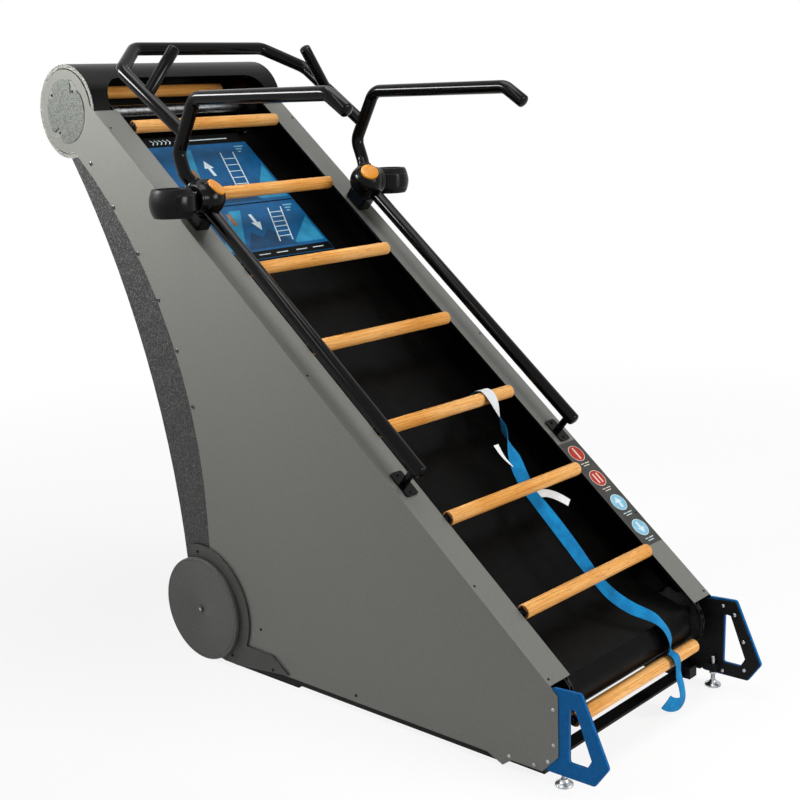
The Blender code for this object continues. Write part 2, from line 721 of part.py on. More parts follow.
def make_strand(name, side, parent, facing, every_roller):
    """One straight stretch of chain with the clips of the rungs that it carries.

    The enclosed back stretch has only the rollers beside its rungs and at its ends.
    """
    start = LOWER_SHAFT_S + STRAND_END_GAP
    end = UPPER_SHAFT_S - STRAND_END_GAP
    line_n = -facing * RUNG_ABOVE_CHAIN
    bars = []
    for x in (INNER_BAR_X, OUTER_BAR_X):
        bars.append(((CHAIN_BAR, end - start, CHAIN_HEIGHT), (side * x, (start + end) / 2.0, line_n)))
    stations = []
    for index in range(RUNG_COUNT):
        carrier, s, n = rung_place(index)
        if carrier == parent:
            stations.append(s)
    rollers = []
    first_link = math.ceil((start + 2.0 * ROLLER_RADIUS - stations[0]) / CHAIN_PITCH - 0.5)
    last_link = math.floor((end - 2.0 * ROLLER_RADIUS - stations[0]) / CHAIN_PITCH - 0.5)
    for link in range(first_link, last_link + 1):
        beside_rung = link % LINKS_PER_RUNG in (0, LINKS_PER_RUNG - 1)
        if every_roller or beside_rung or link in (first_link, last_link):
            s = stations[0] + (link + 0.5) * CHAIN_PITCH
            rollers.append((ROLLER_RADIUS, ROLLER_LENGTH, (side * CHAIN_X, s, line_n)))
    strand = add_object(name, boxes_mesh(bars), CHAIN_STEEL, parent=parent)
    join(strand, add_object("tool_rollers", rods_mesh(rollers, ROLLER_SIDES), None, parent=parent))
    join(strand, *clip_tools(side, stations, facing, parent))
    return strand


# Sprockets and shafts
def make_sprocket(name, side, axis, rung_index, wrap_start):
    """A toothed wheel with the bent stretch of chain that lies on it, and the clip of one rung."""
    carrier, rung_s, rung_n = rung_place(rung_index)
    rung_turn = math.degrees(math.atan2(rung_s, rung_n))
    pitch_angle = 360.0 / TEETH
    root = PITCH_RADIUS - ROLLER_RADIUS - GAP
    tip = PITCH_RADIUS + TOOTH_HEIGHT
    tooth = ((-TOOTH_VALLEY_TURN, root), (TOOTH_VALLEY_TURN, root), (TOOTH_CREST_TURN, tip),
             (pitch_angle - TOOTH_CREST_TURN, tip))
    outline = []
    for index in range(TEETH):
        for offset, radius in tooth:
            turn = math.radians(rung_turn + pitch_angle * (index + 0.5) + offset)
            outline.append(Vector((radius * math.sin(turn), radius * math.cos(turn))))
    disc = sheet_mesh([outline], SPROCKET_THICKNESS)
    sprocket = add_object(name, disc, CHAIN_STEEL, (side * CHAIN_X, 0.0, 0.0), SIDE_PLANE, axis)
    hub_outer_x = BEARING_INNER_X - RUNNING_GAP
    join(sprocket, side_rod(HUB_RADIUS, side * HUB_INNER_X, side * hub_outer_x, 0.0, 0.0, SHAFT_SIDES, axis))
    inner_radius = PITCH_RADIUS - CHAIN_HEIGHT / 2.0
    outer_radius = PITCH_RADIUS + CHAIN_HEIGHT / 2.0
    wrap = arc((0.0, 0.0), outer_radius, 90.0 - wrap_start, -90.0 - wrap_start, WRAP_STEPS)
    wrap += reversed(arc((0.0, 0.0), inner_radius, 90.0 - wrap_start, -90.0 - wrap_start, WRAP_STEPS))
    rollers = []
    for link in (-1.5, -0.5, 0.5, 1.5):
        turn = math.radians(rung_turn + pitch_angle * link)
        middle = (0.0, PITCH_RADIUS * math.sin(turn), PITCH_RADIUS * math.cos(turn))
        rollers.append((ROLLER_RADIUS + 4.0 * GAP, ROLLER_LENGTH, middle))
    bars = add_object("tool_wrap", sheet_mesh([wrap], CHAIN_BAR), None, (side * INNER_BAR_X, 0.0, 0.0),
                      SIDE_PLANE, axis)
    outer_bars = add_object("tool_wrap", sheet_mesh([wrap], CHAIN_BAR), None, (side * OUTER_BAR_X, 0.0, 0.0),
                            SIDE_PLANE, axis)
    pins = add_object("tool_rollers", rods_mesh(rollers, WRAP_ROLLER_SIDES), None,
                      (side * CHAIN_X, 0.0, 0.0), parent=axis)
    join(sprocket, pins, bars, outer_bars)
    join(sprocket, *clip_tools(side, [0.0], 1.0, axis, (0.0, rung_s, rung_n), -math.radians(rung_turn)))
    cut(sprocket, tool_rod(SHAFT_BORE, HUB_RADIUS * 4.0, (side * CHAIN_X, 0.0, 0.0), SHAFT_SIDES,
                           parent=axis))
    return sprocket


for word, side in SIDES:
    make_strand(f"chain_front_{word}", side, front_run, 1.0, True)
    make_strand(f"chain_back_{word}", side, back_run, -1.0, False)
    make_sprocket(f"sprocket_upper_{word}", side, upper_axis, UPPER_RUNG, 0.0)
    make_sprocket(f"sprocket_lower_{word}", side, lower_axis, LOWER_RUNG, 180.0)
for name, axis in (("upper_shaft", upper_axis), ("lower_shaft", lower_axis)):
    shaft_mesh = cone_mesh(SHAFT_RADIUS, SHAFT_RADIUS, 2.0 * SHAFT_HALF_LENGTH, SHAFT_SIDES)
    add_object(name, shaft_mesh, ZINC, rotation=ALONG_X, parent=axis)


# Frame rails with their bearing housings
def notch_box(side):
    """The room that the front plates need beside a rail."""
    return tool_box((FRONT_NOTCH_WIDTH, FRONT_NOTCH_LENGTH, FRONT_NOTCH_HEIGHT),
                    (side * (NOTCH_OUTER_X + FRONT_NOTCH_WIDTH / 2.0),
                     FRONT_NOTCH_Y - FRONT_NOTCH_LENGTH / 2.0, CORNER_Z))


def make_rail(word, side):
    """A rail with two bearing housings and the bar that guides the back stretch of chain."""
    rail_end = UPPER_SHAFT_S + RAIL_PAST_SHAFT
    width = LAYER_OUTER_X - RAIL_INNER_X
    size = (width, rail_end - RAIL_START_S, RAIL_DEPTH)
    place = (side * (RAIL_INNER_X + width / 2.0), (RAIL_START_S + rail_end) / 2.0,
             -RAIL_TOP_DEPTH - RAIL_DEPTH / 2.0)
    rail = add_object(f"frame_rail_{word}", box_mesh(size), BLACK_POWDER, place, parent=slope_frame)
    for axis in (upper_axis, lower_axis):
        join(rail, side_rod(BEARING_RADIUS, side * BEARING_INNER_X, side * (RAIL_INNER_X + HOUSING_LAP),
                            0.0, 0.0, 20, axis))
    for axis in (upper_axis, lower_axis):
        cut(rail, side_rod(BEARING_BORE, side * (BEARING_INNER_X - BEARING_THICKNESS),
                           side * (RAIL_INNER_X + RUNNING_GAP), 0.0, 0.0, SHAFT_SIDES, axis))
    cut(rail, notch_box(side))
    strand_top = 2.0 * SHAFT_N + RUNG_ABOVE_CHAIN + CHAIN_HEIGHT / 2.0
    bar_bottom = strand_top + GAP
    guide_length = GUIDE_END_S - GUIDE_START_S
    guide_s = (GUIDE_START_S + GUIDE_END_S) / 2.0
    lip_top = GUIDE_LAP - RAIL_BOTTOM
    join(rail, tool_box((GUIDE_LIP, guide_length, lip_top - bar_bottom),
                        (side * (RAIL_INNER_X + GUIDE_LIP / 2.0), guide_s, (lip_top + bar_bottom) / 2.0),
                        slope_frame))
    bar_inner_x = OUTER_BAR_X - CHAIN_BAR / 2.0
    bar_outer_x = RAIL_INNER_X + GUIDE_LIP / 2.0
    join(rail, tool_box((bar_outer_x - bar_inner_x, guide_length, GUIDE_BAR),
                        (side * (bar_inner_x + bar_outer_x) / 2.0, guide_s, bar_bottom + GUIDE_BAR / 2.0),
                        slope_frame))


for word, side in SIDES:
    make_rail(word, side)


# Side panels
head_s, head_n = slope_coordinates(HEAD_Y, HEAD_Z)
head_centre = (HEAD_Y, HEAD_Z)
head_end = on_circle(head_centre, HEAD_RADIUS, REAR_ARC_TOP_TURN)
rear_centre, rear_radius = upright_arc((PANEL_REAR_Y, REAR_ARC_Z), head_end)
flange_end_s = head_s - math.sqrt(DRUM_CLEAR_RADIUS ** 2 - head_n ** 2) - FLANGE_END_GAP


def panel_outline():
    """Front corner, slope, round head, hollow rear edge, and the foot with its pointed tab."""
    head_start = slope_point(head_s - math.sqrt(HEAD_RADIUS ** 2 - head_n ** 2), 0.0)
    outline = [slope_point(0.0, 0.0)]
    outline += arc(head_centre, HEAD_RADIUS, direction(head_start, head_centre),
                   direction(head_end, head_centre), 22)
    outline += arc(rear_centre, rear_radius, direction(head_end, rear_centre), 180.0, 11)[1:]
    foot = [(PANEL_REAR_Y, PANEL_BOTTOM_Z), (TAB_REAR_Y, TAB_ROOT_Z), (TAB_TIP_Y, TAB_TIP_Z),
            (TAB_FRONT_Y, TAB_ROOT_Z), (PANEL_FOOT_Y, PANEL_BOTTOM_Z), (CORNER_Y, PANEL_FOOT_Z)]
    return outline + [Vector(corner) for corner in foot]


def make_panel(word, side):
    """A side panel with its folded flange."""
    hole = arc(head_centre, DRUM_PLATE_RADIUS + 2.0 * GAP, 0.0, 360.0, 32)[:-1]
    panel = side_sheet(f"side_panel_{word}", [panel_outline(), hole], side * PANEL_INNER_X,
                       side * PANEL_OUTER_X, GREY_PAINT)
    flange_outer_x = PANEL_INNER_X + SHEET / 2.0
    flange_size = (flange_outer_x - FLANGE_INNER_X, flange_end_s - FLANGE_START_S, SHEET)
    flange_place = (side * (flange_outer_x + FLANGE_INNER_X) / 2.0, (FLANGE_START_S + flange_end_s) / 2.0,
                    -SHEET / 2.0)
    join(panel, tool_box(flange_size, flange_place, slope_frame))
    return panel


for word, side in SIDES:
    make_panel(word, side)


# Drum cover
def make_drum_cover():
    """The drum over the head, open at the front, underneath and where the slope runs in."""
    half = LAYER_OUTER_X
    rim = DRUM_RADIUS - DRUM_RIM_WIDTH
    inner = DRUM_RADIUS - DRUM_WALL
    chamfer = DRUM_WALL / 2.0
    outer_side = [(rim, half), (DRUM_RADIUS - chamfer, half), (DRUM_RADIUS, half - chamfer)]
    inner_side = [(inner, half - DRUM_WALL), (rim, half - DRUM_WALL)]
    profile = outer_side + [(radius, -height) for radius, height in reversed(outer_side)]
    profile += [(radius, -height) for radius, height in reversed(inner_side)]
    profile += inner_side
    drum = turned("drum_cover", profile, DRUM_STEPS, BLACK_POWDER, (0.0, HEAD_Y, HEAD_Z), ALONG_X,
                  closed=True)
    low_z = HEAD_Z - 1.5 * DRUM_RADIUS
    mouth = rounded([(-DRUM_OPENING_HALF, low_z), (DRUM_OPENING_HALF, low_z),
                     (DRUM_OPENING_HALF, DRUM_OPENING_TOP_Z), (-DRUM_OPENING_HALF, DRUM_OPENING_TOP_Z)],
                    DRUM_OPENING_CORNER, 5)
    mouth_depth = 1.5 * DRUM_RADIUS
    mouth_tool = add_object("tool_mouth", sheet_mesh([mouth], mouth_depth), None,
                            (0.0, HEAD_Y - mouth_depth / 2.0, 0.0), (math.pi / 2.0, 0.0, 0.0))
    cut(drum, mouth_tool)
    cut(drum, tool_box((2.0 * DRUM_OPENING_HALF, DRUM_UNDER_LENGTH, DRUM_UNDER_HEIGHT),
                       (0.0, HEAD_Y - DRUM_UNDER_FORWARD, HEAD_Z - DRUM_UNDER_DROP)))
    slot_top = -SHEET - DRUM_SLOT_CLEARANCE
    slot_size = (2.0 * (half + DRUM_SLOT_CLEARANCE), DRUM_SLOT_LENGTH, slot_top + DRUM_SLOT_DEPTH)
    slot_s = head_s - DRUM_SLOT_BACK - DRUM_SLOT_LENGTH / 2.0
    cut(drum, tool_box(slot_size, (0.0, slot_s, (slot_top - DRUM_SLOT_DEPTH) / 2.0), slope_frame))
    return drum


make_drum_cover()


def make_drum_plate(word, side):
    """The round end plate with three hooked notches and its screws."""
    inner_x = PANEL_INNER_X
    outer_x = PANEL_OUTER_X + DRUM_PLATE_PROUD
    middle_x = side * (inner_x + outer_x) / 2.0
    edge = arc(head_centre, DRUM_PLATE_RADIUS, 0.0, 360.0, 28)[:-1]
    plate = side_sheet(f"drum_plate_{word}", [edge], side * inner_x, side * outer_x, GREY_PAINT)
    slot_size = (10.0 * SHEET, NOTCH_LENGTH, NOTCH_WIDTH)
    hook_size = (10.0 * SHEET, NOTCH_WIDTH, HOOK_LENGTH)
    reach = DRUM_PLATE_RADIUS - NOTCH_INSET
    for turn in NOTCH_TURNS:
        rotation = (math.radians(turn), 0.0, 0.0)
        slot = on_circle(head_centre, reach, turn)
        cut(plate, tool_box(slot_size, (middle_x, slot.x, slot.y), rotation=rotation))
        hook = on_circle(head_centre, reach - HOOK_INSET, turn + math.degrees(HOOK_TURN))
        cut(plate, tool_box(hook_size, (middle_x, hook.x, hook.y), rotation=rotation))
    for turn in PLATE_BOLT_TURNS:
        bolt = on_circle(head_centre, PLATE_BOLT_CIRCLE * DRUM_PLATE_RADIUS, turn)
        join(plate, side_rod(PLATE_BOLT_RADIUS, side * (outer_x - SHEET / 2.0),
                             side * (outer_x + PLATE_BOLT_HEIGHT), bolt.x, bolt.y, 6))
    return plate


for word, side in SIDES:
    make_drum_plate(word, side)


# Rear cover
cover_top = on_circle(head_centre, DRUM_CLEAR_RADIUS, COVER_TOP_TURN)
cover_centre, cover_radius = upright_arc((COVER_BACK_Y, COVER_ARC_Z), cover_top)


def band(path, thickness):
    """The outline of a bent sheet that lies on the left of a path."""
    points = [Vector(point) for point in path]
    offset = []
    for index, point in enumerate(points):
        ways = []
        if index > 0:
            ways.append((point - points[index - 1]).normalized())
        if index < len(points) - 1:
            ways.append((points[index + 1] - point).normalized())
        normals = [Vector((-way.y, way.x)) for way in ways]
        normal = sum(normals, Vector((0.0, 0.0))).normalized()
        offset.append(point + normal * thickness / max(0.5, normal.dot(normals[0])))
    return points + offset[::-1]


def cover_back_y(z):
    """Where the outer face of the rear cover stands at a height."""
    return cover_centre.x - math.sqrt(cover_radius ** 2 - (z - cover_centre.y) ** 2)


def make_rear_cover():
    """The bent back sheet with its sides and the skirt under the drum."""
    top_angle = direction(cover_top, cover_centre)
    low_angle = direction((cover_back_y(COVER_BOTTOM_Z), COVER_BOTTOM_Z), cover_centre) % 360.0
    back = arc(cover_centre, cover_radius, low_angle, top_angle, 16)
    lap_radius = rear_radius + COVER_LAP
    lap_top = circle_crossing(rear_centre, lap_radius, head_centre, DRUM_CLEAR_RADIUS)
    drum_edge = arc(head_centre, DRUM_CLEAR_RADIUS, COVER_TOP_TURN, direction(lap_top, head_centre), 4)
    front = arc(rear_centre, lap_radius, direction(lap_top, rear_centre), 180.0, 12)
    front.append(Vector((PANEL_REAR_Y - COVER_LAP, COVER_BOTTOM_Z)))
    side_outline = back + drum_edge[1:] + front[1:]
    sheet = band(back, -COVER_WALL)
    cover = side_sheet("rear_cover", [sheet], -LAYER_OUTER_X, LAYER_OUTER_X, BLACK_POWDER)
    for side in (-1.0, 1.0):
        join(cover, side_sheet("tool_side", [side_outline], side * (LAYER_OUTER_X - SHEET),
                               side * LAYER_OUTER_X))
    cut(cover, tool_box((2.0 * DRUM_OPENING_HALF, COVER_CUT_HEIGHT / 2.0, COVER_CUT_HEIGHT),
                        (0.0, cover_back_y(COVER_BEND_Z), COVER_BEND_Z + COVER_CUT_HEIGHT / 2.0)))
    bend_z = COVER_BEND_Z - SKIRT_LAP
    bend = Vector((cover_back_y(bend_z), bend_z))
    skirt = band([bend, slope_point(SKIRT_END_S, -SKIRT_DEPTH)], -COVER_WALL)
    join(cover, side_sheet("tool_skirt", [skirt], -DRUM_OPENING_HALF + GAP, DRUM_OPENING_HALF - GAP))
    return cover


make_rear_cover()


# Inner pan and sign
def make_inner_pan():
    """The deck under the rungs with the round nose in front."""
    top_end = slope_point(PAN_END_S, -PAN_DEPTH)
    deck_front = slope_point(PAN_FRONT_S, -PAN_DEPTH)
    deck = band([deck_front, top_end], -SHEET)
    pan_half = RAIL_INNER_X - GAP
    pan = side_sheet("inner_pan", [deck], -pan_half, pan_half, BLACK_GLOSS)
    shaft_centre = slope_point(LOWER_SHAFT_S, SHAFT_N)
    nose_path = [slope_point(PAN_FRONT_S + PAN_LAP, -PAN_DEPTH)]
    nose_path += arc(shaft_centre, NOSE_RADIUS, NOSE_TURN_TOP, NOSE_TURN_FOOT, 6)
    nose = band(nose_path, SHEET)
    join(pan, side_sheet("tool_nose", [nose], -NOSE_HALF_WIDTH, NOSE_HALF_WIDTH))
    return pan


make_inner_pan()
sign_size = (2.0 * SIGN_HALF_WIDTH, SIGN_END_S - SIGN_START_S, SIGN_THICKNESS)
sign_place = (0.0, (SIGN_START_S + SIGN_END_S) / 2.0, GAP + SIGN_THICKNESS / 2.0 - PAN_DEPTH)
add_object("sign_panel", box_mesh(sign_size), BLUE_SIGN, sign_place, parent=slope_frame)


# Base
def make_base_rail(word, side):
    """A base rail with the skid that stands on the floor."""
    width = LAYER_OUTER_X - BASE_INNER_X
    height = BASE_TOP_Z - BASE_BOTTOM_Z
    middle_x = side * (BASE_INNER_X + width / 2.0)
    rail = add_object(f"base_rail_{word}", box_mesh((width, BASE_REAR_Y - BASE_FRONT_Y, height)), BLACK_POWDER,
                      (middle_x, (BASE_FRONT_Y + BASE_REAR_Y) / 2.0, (BASE_BOTTOM_Z + BASE_TOP_Z) / 2.0))
    skid_height = BASE_BOTTOM_Z + SKID_LAP
    join(rail, tool_box((width * SKID_WIDTH_SHARE, SKID_REAR_Y - SKID_FRONT_Y, skid_height),
                        (middle_x, (SKID_FRONT_Y + SKID_REAR_Y) / 2.0, skid_height / 2.0)))
    cut(rail, notch_box(side))


for word, side in SIDES:
    make_base_rail(word, side)
for word, cross_y in (("front", CROSS_FRONT_Y), ("rear", CROSS_REAR_Y)):
    cross_size = (2.0 * (BASE_INNER_X - GAP), CROSS_WIDTH, BASE_TOP_Z - BASE_BOTTOM_Z)
    add_object(f"base_cross_{word}", box_mesh(cross_size), BLACK_POWDER,
               (0.0, cross_y, (BASE_BOTTOM_Z + BASE_TOP_Z) / 2.0))


# Transport wheels and the plates that carry them
def make_wheel_plate(word, side):
    """The plate that carries a wheel, with its axle and the axle's head."""
    centre = (WHEEL_Y, WHEEL_Z)
    outline = arc(centre, WHEEL_PLATE_RADIUS, *WHEEL_PLATE_TURNS, 18)
    outline += [Vector(corner) for corner in WHEEL_PLATE_TOE]
    plate = side_sheet(f"wheel_plate_{word}", [outline], side * (PANEL_OUTER_X + GAP),
                       side * WHEEL_PLATE_OUTER_X, BLACK_POWDER)
    join(plate, side_rod(AXLE_RADIUS, side * (WHEEL_PLATE_OUTER_X - AXLE_LAP),
                         side * (AXLE_HEAD_X + AXLE_LAP / 3.0), WHEEL_Y, WHEEL_Z, 12))
    join(plate, side_rod(AXLE_HEAD_RADIUS, side * AXLE_HEAD_X, side * (AXLE_HEAD_X + AXLE_HEAD_HEIGHT),
                         WHEEL_Y, WHEEL_Z, 16))


def make_wheel(word, side):
    """A solid wheel with bevelled edges, bored for its axle."""
    bore = AXLE_RADIUS + GAP
    half = WHEEL_THICKNESS / 2.0
    rim = WHEEL_RADIUS
    profile = [(bore, half), (rim - WHEEL_EDGE, half), (rim, half - WHEEL_EDGE),
               (rim, WHEEL_EDGE - half), (rim - WHEEL_EDGE, -half), (bore, -half)]
    turned(f"transport_wheel_{word}", profile, 32, BLACK_PLASTIC,
           (side * (WHEEL_INNER_X + half), WHEEL_Y, WHEEL_Z), ALONG_X, closed=True)


for word, side in SIDES:
    make_wheel_plate(word, side)
    make_wheel(word, side)


# Front brackets, the plates inside them and the levelling feet
def make_bracket(word, side):
    """The bracket plate with its hand hole."""
    outline = rounded(BRACKET_OUTLINE, BRACKET_CORNER_RADIUS, 3)
    window = rounded(BRACKET_WINDOW, WINDOW_CORNER_RADIUS, 3)
    side_sheet(f"front_bracket_{word}", [outline, window], side * BRACKET_INNER_X, side * LAYER_OUTER_X,
               BLUE_PAINT)


def make_inner_plate(word, side):
    """The plate inside a bracket, with the threaded boss of the levelling foot."""
    corners = INNER_PLATE_FRONT + [slope_point(INNER_PLATE_TOP_FROM_S, -INNER_PLATE_DEPTH),
                                   slope_point(INNER_PLATE_TOP_TO_S, -INNER_PLATE_DEPTH), INNER_PLATE_REAR]
    outline = rounded(corners, INNER_PLATE_CORNER_RADIUS, 2)
    window = rounded(INNER_PLATE_WINDOW, WINDOW_CORNER_RADIUS, 3)
    plate = side_sheet(f"front_inner_plate_{word}", [outline, window], side * INNER_PLATE_INNER_X,
                       side * INNER_PLATE_OUTER_X, BLACK_POWDER)
    boss_inner_x = FOOT_X - BOSS_HALF
    boss_outer_x = INNER_PLATE_INNER_X + BOSS_LAP
    boss_height = BOSS_TOP_Z - BOSS_BOTTOM_Z
    boss_z = (BOSS_BOTTOM_Z + BOSS_TOP_Z) / 2.0
    join(plate, tool_box((boss_outer_x - boss_inner_x, 2.0 * BOSS_HALF, boss_height),
                         (side * (boss_inner_x + boss_outer_x) / 2.0, FOOT_Y, boss_z)))
    cut(plate, tool_rod(STUD_RADIUS + GAP, 4.0 * boss_height, (side * FOOT_X, FOOT_Y, boss_z), 12, UPRIGHT))


def make_foot(word, side):
    """A levelling foot with its stud."""
    profile = [(0.0, STUD_TOP_Z), (STUD_RADIUS, STUD_TOP_Z), (STUD_RADIUS, FOOT_CONE_TOP_Z),
               (FOOT_RADIUS - 2.0 * FOOT_EDGE, FOOT_HEIGHT), (FOOT_RADIUS, FOOT_HEIGHT - FOOT_EDGE),
               (FOOT_RADIUS, 0.0), (0.0, 0.0)]
    turned(f"levelling_foot_{word}", profile, 16, ZINC, (side * FOOT_X, FOOT_Y, 0.0))


for word, side in SIDES:
    make_bracket(word, side)
    make_inner_plate(word, side)
    make_foot(word, side)


# Handrails
hub_s, hub_n = slope_coordinates(HUB_Y, HUB_Z)
handrail_end_s = hub_s - HUB_BALL_RADIUS + SOCKET_DEPTH


def make_handrail(word, side):
    """A handrail with its strut and foot plate."""
    radius = HANDRAIL_RADIUS
    length = handrail_end_s - HANDRAIL_START_S
    profile = [(0.0, length), (radius, length), (radius, radius)]
    profile += [(point.x, radius + point.y) for point in arc((0.0, 0.0), radius, 0.0, -90.0, 4)[1:]]
    rail = turned(f"handrail_{word}", profile, 16, BLACK_GLOSS,
                  (side * HANDRAIL_X, HANDRAIL_START_S, HANDRAIL_HEIGHT), ALONG_SLOPE, slope_frame)
    join(rail, tool_rod(STRUT_RADIUS, HANDRAIL_HEIGHT,
                        (side * HANDRAIL_X, HANDRAIL_STRUT_S, HANDRAIL_HEIGHT / 2.0 + GAP), 12, UPRIGHT,
                        slope_frame))
    join(rail, tool_box((STRUT_PLATE_WIDTH, STRUT_PLATE_LENGTH, STRUT_PLATE_HEIGHT),
                        (side * HANDRAIL_X, HANDRAIL_STRUT_S, GAP + STRUT_PLATE_HEIGHT / 2.0), slope_frame))
    return rail


for word, side in SIDES:
    make_handrail(word, side)


# Handlebar
def handle_path(side):
    """From inside the hub up the post, over the bend and forward along the grip."""
    corners = [(HANDLE_X - HANDLE_FOOT_INSIDE, HANDLE_FOOT_Y, HANDLE_FOOT_Z),
               (HANDLE_X, HANDLE_KNEE_Y, HANDLE_KNEE_Z), (HANDLE_X, HANDLE_BACK_Y, HANDLE_BACK_Z),
               (HANDLE_X, HANDLE_BEND_Y, HANDLE_TOP_Z), (HANDLE_X, HANDLE_NOSE_Y, HANDLE_TOP_Z),
               (HANDLE_X, HANDLE_TIP_Y, HANDLE_TIP_Z)]
    return rounded([(side * x, y, z) for x, y, z in corners], HANDLE_BEND_RADIUS, 2, closed=False)


def make_handlebar():
    """Both handles, the rear bow and the two grips, welded as one."""
    bar = tube("handlebar", handle_path(1.0), BAR_RADIUS, BAR_SIDES, BLACK_GLOSS)
    join(bar, tube("tool_handle", handle_path(-1.0), BAR_RADIUS, BAR_SIDES))
    half = [(HANDLE_X, BOW_START_Y, BOW_START_Z),
            (HANDLE_X + BOW_CORNER_OUTSIDE, BOW_CORNER_Y, BOW_CORNER_Z),
            (HANDLE_X - BOW_TOP_INSIDE, BOW_Y, BOW_TOP_Z)]
    bow = half + [(-x, y, z) for x, y, z in reversed(half)]
    join(bar, tube("tool_bow", rounded(bow, HANDLE_BEND_RADIUS, 3, closed=False), BAR_RADIUS, BAR_SIDES))
    for side in (-1.0, 1.0):
        grip = [(side * (HANDLE_X + GRIP_START_OUTSIDE), GRIP_START_Y, GRIP_START_Z),
                (side * (HANDLE_X - GRIP_END_INSIDE), GRIP_END_Y, GRIP_END_Z)]
        join(bar, tube("tool_grip", grip, GRIP_RADIUS, BAR_SIDES))
    return bar


make_handlebar()


# Hubs with their orange caps, and the cup holders
def cup_side(height_from, height_to, extra, steps):
    """The bulged outer side of the cup holder, as (radius, height) pairs from the top down."""
    points = []
    for step in range(steps + 1):
        share = step / steps
        bulge = (CUP_BULGE_RADIUS - CUP_RIM_RADIUS) * math.sin(math.pi * share)
        points.append((CUP_RIM_RADIUS + bulge + extra, height_to + (height_from - height_to) * share))
    return points


def make_cup(word, side):
    """A bulged cup holder."""
    hole = [(0.0, CUP_BOTTOM_Z + CUP_FLOOR), (CUP_HOLE_RADIUS, CUP_BOTTOM_Z + CUP_FLOOR),
            (CUP_HOLE_RADIUS, CUP_TOP_Z)]
    profile = hole + cup_side(CUP_BOTTOM_Z, CUP_TOP_Z, 0.0, 5) + [(0.0, CUP_BOTTOM_Z)]
    turned(f"cup_holder_{word}", profile, 20, BLACK_PLASTIC, (side * CUP_X, CUP_Y, 0.0))


def cup_cutter(side):
    """The room that a hub leaves for its cup holder."""
    sides = cup_side(CUP_BOTTOM_Z - 2.0 * GAP, CUP_TOP_Z + 2.0 * GAP, 2.0 * GAP, 5)
    rim = CUP_RIM_RADIUS + 2.0 * GAP
    profile = [(0.0, CUP_TOP_Z + CUP_RIM_RADIUS), (rim, CUP_TOP_Z + CUP_RIM_RADIUS)]
    profile += sides + [(rim, CUP_BOTTOM_Z - CUP_RIM_RADIUS), (0.0, CUP_BOTTOM_Z - CUP_RIM_RADIUS)]
    return turned("tool_cup", profile, 20, None, (side * CUP_X, CUP_Y, 0.0))


def cap_turn(side):
    """The rotation that points a cap inward, forward and up."""
    way = Vector((-side * CAP_WAY[0], CAP_WAY[1], CAP_WAY[2]))
    return way.normalized(), way.to_track_quat("Z", "Y").to_euler()


def make_hub(word, side):
    """The ball on its foot, with the barrel and collar of the cup holder."""
    ball_mesh = bpy.data.meshes.new("ball")
    shape = bmesh.new()
    bmesh.ops.create_uvsphere(shape, u_segments=18, v_segments=10, radius=HUB_BALL_RADIUS)
    shape.to_mesh(ball_mesh)
    shape.free()
    shade_round(ball_mesh)
    centre = Vector((side * HUB_X, HUB_Y, HUB_Z))
    hub = add_object(f"hub_{word}", ball_mesh, BLACK_GLOSS, centre)
    barrel_length = CUP_X - HUB_X
    barrel_mesh = cone_mesh(BARREL_RADIUS_IN, BARREL_RADIUS_OUT, barrel_length, 16)
    join(hub, add_object("tool_barrel", barrel_mesh, None, (side * (HUB_X + barrel_length / 2.0), HUB_Y, HUB_Z),
                         (0.0, side * math.pi / 2.0, 0.0)))
    foot_height = hub_n - HUB_FOOT_INSIDE
    join(hub, tool_box((HUB_FOOT_WIDTH, HUB_FOOT_LENGTH, foot_height),
                       (side * (HUB_X + HUB_FOOT_OUT), hub_s - HUB_FOOT_DOWN, GAP + foot_height / 2.0),
                       slope_frame))
    collar_radius = CUP_BULGE_RADIUS + COLLAR_THICKNESS
    collar_place = (side * CUP_X, CUP_Y, (CUP_BOTTOM_Z + CUP_TOP_Z) / 2.0)
    collar = tool_rod(collar_radius, COLLAR_HEIGHT, collar_place, 16, UPRIGHT)
    keep_length = 2.4 * collar_radius
    keep_width = 1.35 * collar_radius
    boolean(collar, tool_box((keep_length, keep_width, 2.0 * COLLAR_HEIGHT),
                             (side * (CUP_X + COLLAR_REACH_OUT - keep_length / 2.0),
                              CUP_Y + COLLAR_REACH_BACK - keep_width / 2.0, HUB_Z)), "INTERSECT")
    join(hub, collar)
    cut(hub, cup_cutter(side))
    bore_length = 4.0 * HUB_BALL_RADIUS
    cut(hub, tool_rod(HANDRAIL_RADIUS + 2.0 * GAP, bore_length,
                      (side * HANDRAIL_X, handrail_end_s + GAP - bore_length / 2.0, HANDRAIL_HEIGHT), 16,
                      ALONG_SLOPE, slope_frame))
    post = handle_path(side)
    post[0] = post[0] + (post[0] - post[1]).normalized() * GAP
    cut(hub, tube("tool_post", post[:6], BAR_RADIUS + 2.0 * GAP, BAR_SIDES))
    way, rotation = cap_turn(side)
    recess_depth = HUB_BALL_RADIUS / 2.0
    cut(hub, tool_rod(CAP_RADIUS + 2.0 * GAP, recess_depth, centre + way * (CAP_SEAT + recess_depth / 2.0), 20,
                      rotation))


def make_cap(word, side):
    """The orange cap in the recess of a hub."""
    dome = [(0.0, CAP_HEIGHT)]
    for share in (0.5, 0.85, 1.0):
        dome.append((CAP_RADIUS * share, CAP_HEIGHT - CAP_CROWN * share ** 3))
    dome += [(CAP_RADIUS, 0.0), (0.0, 0.0)]
    way, rotation = cap_turn(side)
    seat = Vector((side * HUB_X, HUB_Y, HUB_Z)) + way * (CAP_SEAT + GAP)
    turned(f"hub_cap_{word}", dome, 20, ORANGE_PLASTIC, seat, rotation)


for word, side in SIDES:
    make_cup(word, side)
    make_hub(word, side)
    make_cap(word, side)


